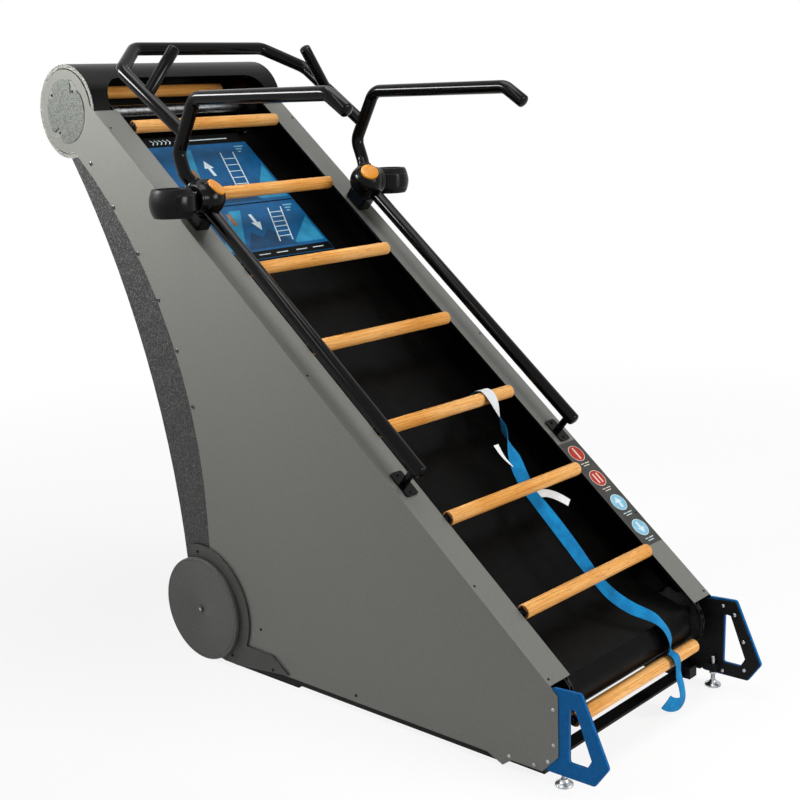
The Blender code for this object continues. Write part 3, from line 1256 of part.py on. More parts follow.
# Strap
def loop_place(index):
    """The (s, n) place of a rung in the whole slope frame."""
    carrier, s, n = rung_place(index)
    return s + carrier.location.y, n + carrier.location.z


def strap_frame():
    """Middle points of the strap in space, with the way across it at each."""
    points = []
    for x, s, n, twist in STRAP_ROUTE:
        y, z = slope_point(s, n)
        points.append((Vector((x, y, z)), math.radians(twist)))
    shaft = slope_point(LOWER_SHAFT_S, SHAFT_N)
    rung = slope_point(*loop_place(LOWER_RUNG))
    for centre, radius, turns in ((shaft, NOSE_RADIUS + STRAP_CLEARANCE, STRAP_OVER_NOSE),
                                  (rung, RUNG_RADIUS + STRAP_RUNG_CLEARANCE, STRAP_OVER_RUNG)):
        for x, turn in turns:
            place = on_circle(centre, radius, turn)
            points.append((Vector((x, place.x, place.y)), 0.0))
    return points + [(Vector(place), 0.0) for place in STRAP_TAIL]


def make_strap():
    """The strap as a thin band through its middle points."""
    frame = strap_frame()
    middles = [place for place, twist in frame]
    shape = bmesh.new()
    rows = []
    across = Vector((1.0, 0.0, 0.0))
    for index, (place, twist) in enumerate(frame):
        along = (middles[min(index + 1, len(middles) - 1)] - middles[max(index - 1, 0)]).normalized()
        across = (across - along * across.dot(along)).normalized()
        turned_across = across.copy()
        turned_across.rotate(Quaternion(along, twist))
        half = turned_across * STRAP_WIDTH / 2.0
        rows.append((shape.verts.new(place - half), shape.verts.new(place + half)))
    for row, next_row in zip(rows, rows[1:]):
        shape.faces.new((row[0], row[1], next_row[1], next_row[0]))
    mesh = bpy.data.meshes.new("strap")
    shape.to_mesh(mesh)
    shape.free()
    mesh.shade_smooth()
    strap = add_object("strap", mesh, BLUE_WEBBING)
    bend = strap.modifiers.new("curve", "SUBSURF")
    bend.levels = 1
    bend.render_levels = 1
    thickness = strap.modifiers.new("thickness", "SOLIDIFY")
    thickness.thickness = STRAP_THICKNESS
    thickness.offset = 0.0
    strap.parent = front_run
    strap.matrix_parent_inverse = front_run.matrix_world.inverted()
    return strap


make_strap()


# Turned pieces are shaded smooth, and weighted normals keep their flat faces flat
for piece in machine.objects:
    if any(modifier.type == "SCREW" for modifier in piece.modifiers):
        shading = piece.modifiers.new("shading", "WEIGHTED_NORMAL")
        shading.weight = 100
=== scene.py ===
import json
import math

import bmesh
import bpy
from mathutils import Matrix, Vector


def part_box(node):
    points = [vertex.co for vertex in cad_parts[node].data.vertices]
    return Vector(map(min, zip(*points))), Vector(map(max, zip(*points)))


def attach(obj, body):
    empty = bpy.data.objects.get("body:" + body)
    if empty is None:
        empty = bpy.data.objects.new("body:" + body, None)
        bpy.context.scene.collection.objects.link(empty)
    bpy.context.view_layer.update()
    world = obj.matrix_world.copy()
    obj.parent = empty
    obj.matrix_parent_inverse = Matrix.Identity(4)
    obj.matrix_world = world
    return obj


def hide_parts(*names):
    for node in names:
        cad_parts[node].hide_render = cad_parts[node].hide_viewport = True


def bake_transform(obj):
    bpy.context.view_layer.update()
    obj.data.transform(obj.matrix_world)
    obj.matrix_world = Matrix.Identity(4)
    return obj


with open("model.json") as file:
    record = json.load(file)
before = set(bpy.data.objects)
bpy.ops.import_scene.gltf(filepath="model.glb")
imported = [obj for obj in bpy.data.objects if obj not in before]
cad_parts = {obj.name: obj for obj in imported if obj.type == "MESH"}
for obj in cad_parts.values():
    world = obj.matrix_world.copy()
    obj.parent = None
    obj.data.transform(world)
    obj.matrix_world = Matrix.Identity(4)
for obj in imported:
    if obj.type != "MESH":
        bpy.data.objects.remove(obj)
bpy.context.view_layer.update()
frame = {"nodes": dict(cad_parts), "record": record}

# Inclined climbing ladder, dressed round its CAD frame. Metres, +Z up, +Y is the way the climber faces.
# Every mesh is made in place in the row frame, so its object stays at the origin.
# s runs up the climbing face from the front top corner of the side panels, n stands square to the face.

MM = 0.001
# The climbing face: its slope, and the front top corner of the side panels, where s and n are zero
SLOPE = math.radians(40.0)
CORNER_Y = -0.882
CORNER_Z = 0.236
# Outer face of the side panels
PANEL_X = 0.3725
# Drum at the head: its middle, its radius, and the radius from which it shows round the panels' round ends
DRUM_Y, DRUM_Z = 0.885, 1.603
DRUM_RADIUS, HEAD_EDGE = 0.1365, 0.1225
# White part of the strap, measured from its upper end
WHITE_FROM, WHITE_TO = 0.060, 0.172
SIDES = (("left", -1.0), ("right", 1.0))
X_AXIS = Vector((1.0, 0.0, 0.0))
Y_AXIS = Vector((0.0, 1.0, 0.0))
Z_AXIS = Vector((0.0, 0.0, 1.0))
UP_SLOPE = Vector((0.0, math.cos(SLOPE), math.sin(SLOPE)))
OFF_SLOPE = Vector((0.0, -math.sin(SLOPE), math.cos(SLOPE)))


def climb(x, s, n):
    """The point at x across, s up the slope and n off the climbing face."""
    return Vector((x, CORNER_Y, CORNER_Z)) + UP_SLOPE * s + OFF_SLOPE * n


# Finishes
def linear(code):
    """An sRGB hex colour as a linear RGBA one."""
    parts = [int(code[place:place + 2], 16) / 255.0 for place in (1, 3, 5)]
    return [part / 12.92 if part <= 0.04045 else ((part + 0.055) / 1.055) ** 2.4 for part in parts] + [1.0]


def add(tree, kind, links=None, **settings):
    """Add a node with its settings.

    links gives a socket, by name or number, a hex colour, a value, another node's output, or a node for its
    first output. Map Range takes its value at 0, the old range at 1 and 2 and the new one at 3 and 4. Mix
    takes its share at 0 and its colours at 6 and 7, and gives its colour at 2.
    """
    if tree.type == "SHADER":
        kind = "ShaderNode" + kind
    node = tree.nodes.new(kind)
    for name, value in settings.items():
        setattr(node, name, value)
    for socket, value in (links or {}).items():
        if isinstance(value, bpy.types.Node):
            value = value.outputs[0]
        if isinstance(value, bpy.types.NodeSocket):
            tree.links.new(value, node.inputs[socket])
        elif isinstance(value, str) and value.startswith("#"):
            node.inputs[socket].default_value = linear(value)
        else:
            node.inputs[socket].default_value = value
    return node


def base(name, roughness, metallic=0.0, specular=0.5, coat=0.0, coat_roughness=0.05, sheen=0.0):
    """A material with its constant sockets set on the shader itself, and its node tree."""
    material = bpy.data.materials.new(name)
    material.use_nodes = True
    tree = material.node_tree
    shader = tree.nodes["Principled BSDF"]
    for socket, value in (("Roughness", roughness), ("Metallic", metallic), ("Specular IOR Level", specular),
                          ("Coat Weight", coat), ("Coat Roughness", coat_roughness), ("Sheen Weight", sheen)):
        shader.inputs[socket].default_value = value
    return material, tree


def dress(material, colour, rough=None, height=None, depth_mm=0.0):
    """Link a colour, a roughness and a relief depth_mm deep to the shader of a material."""
    tree = material.node_tree
    shader = tree.nodes["Principled BSDF"]
    tree.links.new(colour.outputs[2], shader.inputs["Base Color"])
    if rough:
        tree.links.new(rough.outputs[0], shader.inputs["Roughness"])
    if height:
        bump = add(tree, "Bump", {"Height": height, "Distance": depth_mm * MM, "Strength": 1.0})
        tree.links.new(bump.outputs[0], shader.inputs["Normal"])
    return material


def grain(tree, size_mm, detail, stretch=(1.0, 1.0, 1.0), distortion=0.0):
    """Noise whose spots are about size_mm wide, stretched by the given factors, in the row frame."""
    place = add(tree, "TexCoord").outputs["Object"]
    scale = [1.0 / (size_mm * MM * factor) for factor in stretch]
    place = add(tree, "Mapping", {"Vector": place, "Scale": scale})
    return add(tree, "TexNoise", {"Vector": place, "Scale": 1.0, "Detail": detail, "Roughness": 0.6,
                                  "Distortion": distortion})


def coating(name, light, dark, grit_mm, roughness, spread=0.08, depth_mm=0.0, metallic=0.0, specular=0.5,
            low=0.40, high=0.62):
    """A sprayed, moulded, plated or printed surface.

    It has two tones in spots of grit_mm, and a gloss that varies by spread over patches of 60 mm, as handling
    leaves it.
    """
    material, tree = base(name, roughness, metallic, specular)
    spots = grain(tree, grit_mm, 3.0)
    share = add(tree, "MapRange", {0: spots, 1: low, 2: high})
    colour = add(tree, "Mix", {0: share, 6: dark, 7: light}, data_type="RGBA")
    wear = grain(tree, 60.0, 5.0)
    rough = add(tree, "MapRange", {0: wear, 1: 0.3, 2: 0.7, 3: roughness - spread, 4: roughness + spread})
    return dress(material, colour, rough, spots if depth_mm else None, depth_mm)


def oiled_oak():
    """Oak, turned and oiled: warm stripes along the rod and a soft sheen that dark open pores break up.

    The rungs differ in tone, as rods from different boards do.
    """
    material, tree = base("oiled_oak_turned", 0.45, specular=0.15)
    stripes = grain(tree, 4.0, 5.0, (60.0, 1.0, 1.0), distortion=0.6)
    bands = add(tree, "MapRange", {0: stripes, 1: 0.36, 2: 0.66})
    pores = add(tree, "MapRange", {0: grain(tree, 1.3, 2.0, (22.0, 1.0, 1.0)), 1: 0.60, 2: 0.70})
    tone = add(tree, "MapRange", {0: grain(tree, 240.0, 1.0), 1: 0.40, 2: 0.60})
    brown = add(tree, "Mix", {0: bands, 6: "#c07c2c", 7: "#e2a55a"}, data_type="RGBA").outputs[2]
    honey = add(tree, "Mix", {0: bands, 6: "#d09042", 7: "#ecb878"}, data_type="RGBA").outputs[2]
    wood = add(tree, "Mix", {0: tone, 6: brown, 7: honey}, data_type="RGBA").outputs[2]
    share = add(tree, "MapRange", {0: pores, 4: 0.70})
    colour = add(tree, "Mix", {0: share, 6: wood, 7: "#75431a"}, data_type="RGBA")
    rough = add(tree, "MapRange", {0: pores, 3: 0.40, 4: 0.62})
    height = add(tree, "MapRange", {0: pores, 3: 1.0, 4: 0.0})
    return dress(material, colour, rough, height, 0.12)


def oak_end_grain():
    """Sawn ends of the rods: dull and dark, as end grain drinks the oil, with yearly rings 3.2 mm apart."""
    material, tree = base("oak_end_grain_sawn", 0.75, specular=0.25)
    place = add(tree, "TexCoord").outputs["Object"]
    rings = add(tree, "TexWave", {"Vector": place, "Scale": 1.0 / (3.2 * MM) / 6.28, "Distortion": 3.0,
                                  "Detail": 3.0}, wave_type="RINGS", rings_direction="X").outputs["Fac"]
    colour = add(tree, "Mix", {0: rings, 6: "#5e3c1e", 7: "#94693c"}, data_type="RGBA")
    return dress(material, colour, None, rings, 0.15)


def grey_paint():
    """Metallic grey paint, sprayed on folded sheet: an even mid grey with a soft gloss and fine flakes.

    Below the climbing face the inside of each panel is black. Real flakes are 0.1 mm, drawn 2.2 mm wide so
    that they show.
    """
    material, tree = base("metallic_grey_paint_sprayed", 0.46, metallic=0.15, specular=0.15, coat=0.6,
                          coat_roughness=0.28)
    flakes = add(tree, "MapRange", {0: grain(tree, 2.2, 2.0), 1: 0.36, 2: 0.66})
    paint = add(tree, "Mix", {0: flakes, 6: "#5e5f5a", 7: "#6b6c66"}, data_type="RGBA").outputs[2]
    scuffs = add(tree, "MapRange", {0: grain(tree, 35.0, 6.0, (1.0, 4.0, 1.0)), 1: 0.60, 2: 0.72, 4: 0.10})
    paint = add(tree, "Mix", {0: scuffs, 6: paint, 7: "#5b5b58"}, data_type="RGBA").outputs[2]
    place = add(tree, "TexCoord").outputs["Object"]
    across = add(tree, "SeparateXYZ", {0: place})
    side = add(tree, "Math", {0: across}, operation="ABSOLUTE")
    inside = add(tree, "Math", {0: side, 1: PANEL_X - 1.2 * MM}, operation="LESS_THAN")
    offset = add(tree, "VectorMath", {0: place, 1: (0.0, CORNER_Y, CORNER_Z)}, operation="SUBTRACT")
    height = add(tree, "VectorMath", {0: offset, 1: OFF_SLOPE[:]}, operation="DOT_PRODUCT").outputs["Value"]
    below = add(tree, "Math", {0: height, 1: -1.0 * MM}, operation="LESS_THAN")
    black = add(tree, "Math", {0: inside, 1: below}, operation="MULTIPLY")
    colour = add(tree, "Mix", {0: black, 6: paint, 7: "#161616"}, data_type="RGBA")
    rough = add(tree, "MapRange", {0: grain(tree, 90.0, 5.0), 1: 0.3, 2: 0.7, 3: 0.40, 4: 0.52})
    return dress(material, colour, rough, grain(tree, 3.0, 1.0), 0.02)


def drum_paint():
    """Half gloss black, sprayed on the rolled drum: long soft highlights.

    The drum's cut ends show the speckled grey of the hammer paint below, but stay black in a band 1.8 mm wide
    next to the panels' round ends: a painted shadow line in the gap between drum and panel.
    """
    material, tree = base("black_paint_over_grey_hammer_paint", 0.32, specular=0.07)
    speckle = add(tree, "MapRange", {0: grain(tree, 3.5, 3.0), 1: 0.38, 2: 0.62})
    place = add(tree, "TexCoord").outputs["Object"]
    across = add(tree, "SeparateXYZ", {0: place})
    side = add(tree, "Math", {0: across}, operation="ABSOLUTE")
    end = add(tree, "Math", {0: side, 1: PANEL_X - 3.4 * MM}, operation="GREATER_THAN")
    away = add(tree, "VectorMath", {0: place, 1: (0.0, DRUM_Y, DRUM_Z)}, operation="SUBTRACT")
    away = add(tree, "VectorMath", {0: away, 1: (0.0, 1.0, 1.0)}, operation="MULTIPLY")
    away = add(tree, "VectorMath", {0: away}, operation="LENGTH").outputs["Value"]
    # The ends stay black for 1.8 mm out from the panels' round ends: a painted shadow line in the gap
    rim = add(tree, "Math", {0: away, 1: HEAD_EDGE + 1.8 * MM}, operation="GREATER_THAN")
    rim = add(tree, "Math", {0: end, 1: rim}, operation="MULTIPLY")
    black = add(tree, "Mix", {0: speckle, 6: "#080807", 7: "#10100f"}, data_type="RGBA").outputs[2]
    grey = add(tree, "Mix", {0: speckle, 6: "#4c4d49", 7: "#8f908a"}, data_type="RGBA").outputs[2]
    colour = add(tree, "Mix", {0: rim, 6: black, 7: grey}, data_type="RGBA")
    return dress(material, colour, None, speckle, 0.12)


def webbing():
    """Polyester webbing, woven and dyed blue: dull, ribbed across, with a white end and patches of painted
    shade.

    Real ribs and yarns are about 1 mm apart, drawn 2.5 and 3 mm apart so that they show.
    """
    material, tree = base("polyester_webbing_woven", 0.80, specular=0.15, sheen=0.05)
    uv = add(tree, "UVMap", uv_map="length_and_width")
    along, across = add(tree, "SeparateXYZ", {0: uv}).outputs[:2]
    waves = []
    for way, pitch_mm in ((along, 2.5), (across, 3.0)):
        turns = add(tree, "Math", {0: way, 1: 2.0 * math.pi / (pitch_mm * MM)}, operation="MULTIPLY")
        wave = add(tree, "Math", {0: turns}, operation="SINE")
        waves.append(add(tree, "MapRange", {0: wave, 1: -1.0}))
    weave = add(tree, "Math", {0: waves[0], 1: waves[1]}, operation="MULTIPLY")
    blue = add(tree, "Mix", {0: weave, 6: "#0672ac", 7: "#12a0da"}, data_type="RGBA").outputs[2]
    # Darker blue patches about 40 mm wide: painted shade of the strap
    painted_fold_shade = add(tree, "MapRange", {0: grain(tree, 40.0, 4.0), 1: 0.42, 2: 0.62, 4: 0.45})
    blue = add(tree, "Mix", {0: painted_fold_shade, 6: blue, 7: "#04487c"}, data_type="RGBA").outputs[2]
    white = add(tree, "Mix", {0: weave, 6: "#c9ced2", 7: "#eef0f1"}, data_type="RGBA").outputs[2]
    begun = add(tree, "Math", {0: along, 1: WHITE_FROM}, operation="GREATER_THAN")
    ended = add(tree, "Math", {0: along, 1: WHITE_TO}, operation="LESS_THAN")
    bleached = add(tree, "Math", {0: begun, 1: ended}, operation="MULTIPLY")
    colour = add(tree, "Mix", {0: bleached, 6: blue, 7: white}, data_type="RGBA")
    return dress(material, colour, None, weave, 0.25)


# Building meshes. Edges sharper than these angles are bevelled, and stay creased in smooth shading.
SHARP_FROM = math.radians(35.0)
CREASE_FROM = math.radians(30.0)


def turn_basis(way):
    """Two directions square to a way, and the way itself, all of length one."""
    way = Vector(way).normalized()
    first = way.orthogonal().normalized()
    if abs(way.x) < 0.9:
        first = (X_AXIS - way * way.dot(X_AXIS)).normalized()
    return first, way.cross(first).normalized(), way


def skin(shape, rows, steps, finish=0, closed=False):
    """Join rows of corners by faces. A row has as many corners as steps, or one corner at a point."""
    pairs = list(zip(rows, rows[1:]))
    if closed:
        pairs.append((rows[-1], rows[0]))
    for row, after in pairs:
        for step in range(steps):
            following = (step + 1) % steps
            corners = [row[step % len(row)], row[following % len(row)], after[following % len(after)],
                       after[step % len(after)]]
            unique = list(dict.fromkeys(corners))
            if len(unique) > 2:
                shape.faces.new(unique).material_index = finish


def lathe(shape, profile, place, way, steps=48, finish=0, closed=False):
    """Add a turned form: (radius, height) pairs, with the heights along way from place."""
    across, up, along = turn_basis(way)
    turns = [2.0 * math.pi * step / steps for step in range(steps)]
    rows = []
    for radius, height in profile:
        middle = Vector(place) + along * height
        if radius < 1e-6:
            rows.append([shape.verts.new(middle)])
            continue
        rows.append([shape.verts.new(middle + across * radius * math.cos(turn) + up * radius * math.sin(turn))
                     for turn in turns])
    skin(shape, rows, steps, finish, closed)


def hose(shape, points, radius, sides=28, end_depth=0.5):
    """Add a round tube along points, with domed ends as deep as end_depth radii."""
    points = [Vector(point) for point in points]
    way = (points[1] - points[0]).normalized()
    across = turn_basis(way)[0]
    stations = []
    for index, point in enumerate(points):
        before = points[max(index - 1, 0)]
        after = points[min(index + 1, len(points) - 1)]
        stations.append((point, (after - before).normalized(), radius))
    cap = [(radius * math.cos(turn), end_depth * radius * math.sin(turn))
           for turn in (math.pi / 2.0 * step / 6 for step in range(1, 7))]
    first, last = stations[0], stations[-1]
    head = [(first[0] - first[1] * depth, first[1], wide) for wide, depth in reversed(cap)]
    tail = [(last[0] + last[1] * depth, last[1], wide) for wide, depth in cap]
    rows = []
    for point, along, wide in head + stations + tail:
        across = (across - along * across.dot(along)).normalized()
        up = along.cross(across)
        if wide < 1e-6:
            rows.append([shape.verts.new(point)])
            continue
        rows.append([shape.verts.new(point + (across * math.cos(turn) + up * math.sin(turn)) * wide)
                     for turn in (2.0 * math.pi * step / sides for step in range(sides))])
    skin(shape, rows, sides)


def slab(shape, outline, thickness):
    """Add a flat plate: an outline of points, raised by the vector thickness."""
    low = [shape.verts.new(point) for point in outline]
    high = [shape.verts.new(Vector(point) + thickness) for point in outline]
    shape.faces.new(low[::-1])
    shape.faces.new(high)
    for index in range(len(low)):
        after = (index + 1) % len(low)
        shape.faces.new((low[index], low[after], high[after], high[index]))


def rounded(points, radius, steps, closed=False):
    """Replace the corners of a path by arcs."""
    corners = [Vector(point) for point in points]
    result = []
    for index, corner in enumerate(corners):
        if not closed and index in (0, len(corners) - 1):
            result.append(corner)
            continue
        before = corners[index - 1] - corner
        after = corners[(index + 1) % len(corners)] - corner
        half = before.angle(after) / 2.0
        reach = min(radius / math.tan(half), 0.45 * before.length, 0.45 * after.length)
        turn_radius = reach * math.tan(half)
        halfway = (before.normalized() + after.normalized()).normalized()
        middle = corner + halfway * turn_radius / math.sin(half)
        first = corner + before.normalized() * reach - middle
        last = corner + after.normalized() * reach - middle
        sweep = first.angle(last)
        for step in range(steps + 1):
            share = step / steps
            result.append(middle + first * math.sin((1.0 - share) * sweep) / math.sin(sweep)
                          + last * math.sin(share * sweep) / math.sin(sweep))
    return result


def fillet_bevel(piece, width):
    """Break the sharp edges of a piece."""
    modifier = piece.modifiers.new("broken_edges", "BEVEL")
    modifier.width = width
    modifier.segments = 2
    modifier.limit_method = "ANGLE"
    modifier.angle_limit = SHARP_FROM
    modifier.harden_normals = True


def smooth_turns():
    """A modifier's node tree that shades the small facets of rolled and turned faces as one smooth face."""
    tree = bpy.data.node_groups.new("smooth_turns", "GeometryNodeTree")
    for way in ("INPUT", "OUTPUT"):
        tree.interface.new_socket("Geometry", in_out=way, socket_type="NodeSocketGeometry")
    start = add(tree, "NodeGroupInput")
    bare = add(tree, "GeometryNodeRemoveAttribute", {0: start, "Name": "custom_normal"})
    even = add(tree, "GeometryNodeSetShadeSmooth", {0: bare, "Shade Smooth": True}, domain="FACE")
    angle = add(tree, "GeometryNodeInputMeshEdgeAngle")
    creased = add(tree, "FunctionNodeCompare", {0: angle, 1: CREASE_FROM}, operation="GREATER_THAN")
    done = add(tree, "GeometryNodeSetShadeSmooth", {0: even, "Selection": creased, "Shade Smooth": False},
               domain="EDGE")
    add(tree, "NodeGroupOutput", {0: done})
    return tree


def make(name, shape, finishes, body, replaces=(), edge=0.0, angle=35.0):
    """Turn a bmesh into a piece that rides on a body, with smooth shading up to an angle in degrees."""
    bmesh.ops.recalc_face_normals(shape, faces=shape.faces)
    mesh = bpy.data.meshes.new(name)
    shape.to_mesh(mesh)
    shape.free()
    for material in finishes:
        mesh.materials.append(material)
    mesh.shade_smooth()
    mesh.set_sharp_from_angle(angle=math.radians(angle))
    piece = bpy.data.objects.new(name, mesh)
    bpy.context.scene.collection.objects.link(piece)
    if edge:
        fillet_bevel(piece, edge)
    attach(piece, body)
    if replaces:
        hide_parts(*replaces)
    return piece


def mirrored(points, side):
    """Points of the right side, taken to the side that is given."""
    return [Vector((side * x, y, z)) for x, y, z in points]


def round_plate(half_width, half_length, radius):
    """The outline of a flat plate with round corners, as (x, s) pairs from its middle."""
    return rounded([(-half_width, -half_length), (half_width, -half_length), (half_width, half_length),
                    (-half_width, half_length)], radius, 4, True)


def bolt(shape, place, way, radius, height, hexagon=False):
    """Add a bolt head: a domed button with a socket, or a hexagon with a washer."""
    if not hexagon:
        socket = 0.38 * radius
        profile = [(radius, -0.3 * MM), (radius, 0.25 * height)]
        for share in (0.92, 0.78, 0.58):
            profile.append((radius * share, height * (0.25 + 0.75 * math.sqrt(1.0 - share ** 2))))
        profile += [(socket, height), (socket * 0.95, 0.35 * height), (0.0, 0.3 * height)]
        lathe(shape, profile, place, way, 20)
    else:
        washer = [(1.45 * radius, -0.3 * MM), (1.45 * radius, 0.22 * height), (0.0, 0.24 * height)]
        lathe(shape, washer, place, way, 24)
        profile = [(radius, 0.2 * height), (radius, 0.92 * height), (0.93 * radius, height), (0.0, height)]
        lathe(shape, profile, place, way, 6)


OAK = oiled_oak()
END_GRAIN = oak_end_grain()
GREY = grey_paint()
DRUM_BLACK = drum_paint()
WEBBING = webbing()

# Real grit finer than 2 mm is drawn 2.5 to 5.5 mm wide in these finishes, so that it shows at all.
# Zinc plate is thin and bright, so it mirrors what is round it, a little blurred
ZINC = coating("zinc_plated_steel_pressed", "#c3c6c8", "#989ca0", 9.0, 0.30, 0.08, 0.02, metallic=1.0)
# Black zinc on screws mirrors in the same way, but dark
SCREW_BLACK = coating("black_zinc_plated_steel", "#54585a", "#404446", 3.0, 0.28, 0.05, 0.01, metallic=1.0)
# Oil darkens chain steel and breaks up its highlights
CHAIN_STEEL = coating("oiled_roller_chain_steel", "#2e2e2f", "#222223", 9.0, 0.42, 0.10, 0.03, metallic=1.0)
# Textured black powder coat: its grey speckles are painted glints of its coarse grains, real ones 0.5 mm,
# drawn 5.5 mm wide so that they show
POWDER = coating("black_powder_coat_with_painted_glints", "#4a4b49", "#0d0d0d", 5.5, 0.50, 0.06, 0.70, specular=0.4,
                 low=0.48, high=0.66)
# Fine powder coat is an even dull charcoal, its 0.2 mm grains drawn 3 mm wide
CHARCOAL = coating("charcoal_powder_coat_fine", "#4f504e", "#3f403e", 3.0, 0.55, 0.06, 0.10, specular=0.25)
# Satin paint keeps edges readable with broad weak highlights
SATIN_BLACK = coating("black_paint_satin", "#191919", "#101010", 6.0, 0.50, 0.06, 0.05, specular=0.10)
# The deck's paint is so dark that only long reflections show its bends
DECK_BLACK = coating("black_sheet_paint_satin", "#080706", "#040404", 20.0, 0.34, 0.08, 0.03, specular=0.04)
# Gloss paint on tube gives thin bright lines along it
GLOSS_BLACK = coating("black_paint_gloss", "#050505", "#030303", 12.0, 0.13, 0.02, 0.010, specular=0.12)
# Moulded ABS is matt with a fine grain, and polished ABS smooth with small sharp highlights
BLACK_ABS = coating("black_abs_moulded", "#131313", "#0d0d0d", 3.0, 0.42, 0.06, 0.06, specular=0.09)
GLOSS_ABS = coating("black_abs_polished", "#080808", "#050505", 10.0, 0.18, 0.03, 0.02, specular=0.12)
ORANGE = coating("orange_abs_moulded", "#d0860f", "#c47c0c", 3.0, 0.38, 0.05, 0.05)
# Turned nylon is an even dull grey black with hardly any mottle
WHEEL_BLACK = coating("black_nylon_turned", "#62635f", "#595a57", 4.0, 0.50, 0.06, 0.03, specular=0.2)
# Baked enamel is smooth and of one strong colour
BLUE = coating("blue_enamel_baked", "#005e9f", "#005690", 12.0, 0.34, 0.05, 0.02, specular=0.08)
# Hammer paint draws together in light and dark speckles
PLATE_GREY = coating("grey_hammer_paint_sprayed", "#666965", "#363833", 3.0, 0.50, 0.06, 0.20, metallic=0.1,
                     specular=0.25, low=0.38, high=0.60)
# Woven label cloth is flat white
SEWN_LABEL = coating("white_label_cloth_woven", "#eceeee", "#d5d8da", 2.5, 0.80, 0.05, 0.08, specular=0.2)

# Printed vinyl is flat colour under a thin even sheen: light and dark tone, width of the blotches, gloss
PRINTS = {
    "black": ("#0c0c0c", "#090909", 8.0, 0.36, 0.06), "slate": ("#3d3d3b", "#343432", 30.0, 0.40, 0.15),
    "blue": ("#075283", "#064a76", 40.0, 0.36, 0.2), "deep_blue": ("#083c60", "#073352", 40.0, 0.36, 0.2),
    "cyan": ("#2b88ae", "#2378a0", 40.0, 0.36, 0.2), "sky": ("#82b8d0", "#72a9c2", 20.0, 0.36, 0.2),
    "pale": ("#cfdfe4", "#bccfd6", 20.0, 0.36, 0.2), "cream": ("#ddd3c2", "#cdc2b0", 20.0, 0.36, 0.2),
    "red": ("#b02a21", "#9c221a", 12.0, 0.36, 0.2), "amber": ("#8a6a50", "#755741", 12.0, 0.36, 0.2),
}
PRINT = {ink: coating(f"{ink}_vinyl_printed", light, dark, blotch, roughness, 0.04, 0.01, specular=specular)
         for ink, (light, dark, blotch, roughness, specular) in PRINTS.items()}

# The finish of the CAD nodes whose names begin like this, and the width in mm of their broken edges
NODE_FINISHES = {
    "frame_rail": (DECK_BLACK, 0.8), "side_panel": (GREY, 1.8), "drum_cover": (DRUM_BLACK, 1.0),
    "rear_cover": (POWDER, 0.8), "inner_pan": (DECK_BLACK, 0.6),
    "sign_panel": (PRINT["blue"], 0.5), "base_rail": (SATIN_BLACK, 1.0), "base_cross": (SATIN_BLACK, 1.0),
    "wheel_plate": (CHARCOAL, 0.8), "front_bracket": (BLUE, 1.0), "front_inner_plate": (SATIN_BLACK, 0.6),
    "chain": (CHAIN_STEEL, 0.4), "sprocket": (CHAIN_STEEL, 0.4), "upper_shaft": (ZINC, 0.5),
    "lower_shaft": (ZINC, 0.5),
}
EVEN_TURNS = smooth_turns()
for name, node in frame["nodes"].items():
    for prefix, (material, edge_mm) in NODE_FINISHES.items():
        if name.startswith(prefix):
            node.data.materials.clear()
            node.data.materials.append(material)
            weld = node.modifiers.new("shared_corners", "WELD")
            weld.merge_threshold = 0.02 * MM
            node.modifiers.new("even_turns", "NODES").node_group = EVEN_TURNS
            fillet_bevel(node, edge_mm * MM)

# The body that each CAD node rides on
BODY_OF = {}
for body, members in frame["record"]["behaviour"]["bodies"].items():
    for member in members:
        BODY_OF[member] = body

# Rungs, with the bolt and washer at each end
RUNG_RADIUS = 0.019
RUNG_EDGE = 2.0 * MM
RUNG_BOLT_X = 284.3 * MM
bolt_shapes = {}
for name in sorted(frame["nodes"]):
    if not name.startswith("rung_"):
        continue
    low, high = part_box(name)
    middle = (low + high) / 2.0
    centre = Vector((0.0, middle.y, middle.z))
    half = high.x
    flat = RUNG_RADIUS - RUNG_EDGE
    round_edge = [(flat + RUNG_EDGE * math.sin(turn), half - RUNG_EDGE + RUNG_EDGE * math.cos(turn))
                  for turn in (0.0, 0.4, 0.8, 1.2, math.pi / 2.0)]
    profile = round_edge + [(RUNG_RADIUS, half * share) for share in (0.5, 0.0, -0.5)]
    profile += [(wide, -height) for wide, height in reversed(round_edge)]
    shape = bmesh.new()
    lathe(shape, profile, centre, X_AXIS, 56)
    for end in (-1.0, 1.0):
        lathe(shape, [(flat, half), (0.0, half)], centre, X_AXIS * end, 56, 1)
    bmesh.ops.remove_doubles(shape, verts=shape.verts, dist=0.01 * MM)
    make(name.replace("rung", "oak_rung"), shape, (OAK, END_GRAIN), BODY_OF[name], (name,), angle=50.0)
    bolts = bolt_shapes.setdefault(BODY_OF[name], bmesh.new())
    for end in (-1.0, 1.0):
        bolt(bolts, centre + X_AXIS * end * RUNG_BOLT_X, X_AXIS * end, 6.0 * MM, 5.0 * MM, hexagon=True)
for body, shape in bolt_shapes.items():
    make(f"rung_bolts_{body}", shape, (CHAIN_STEEL,), body)

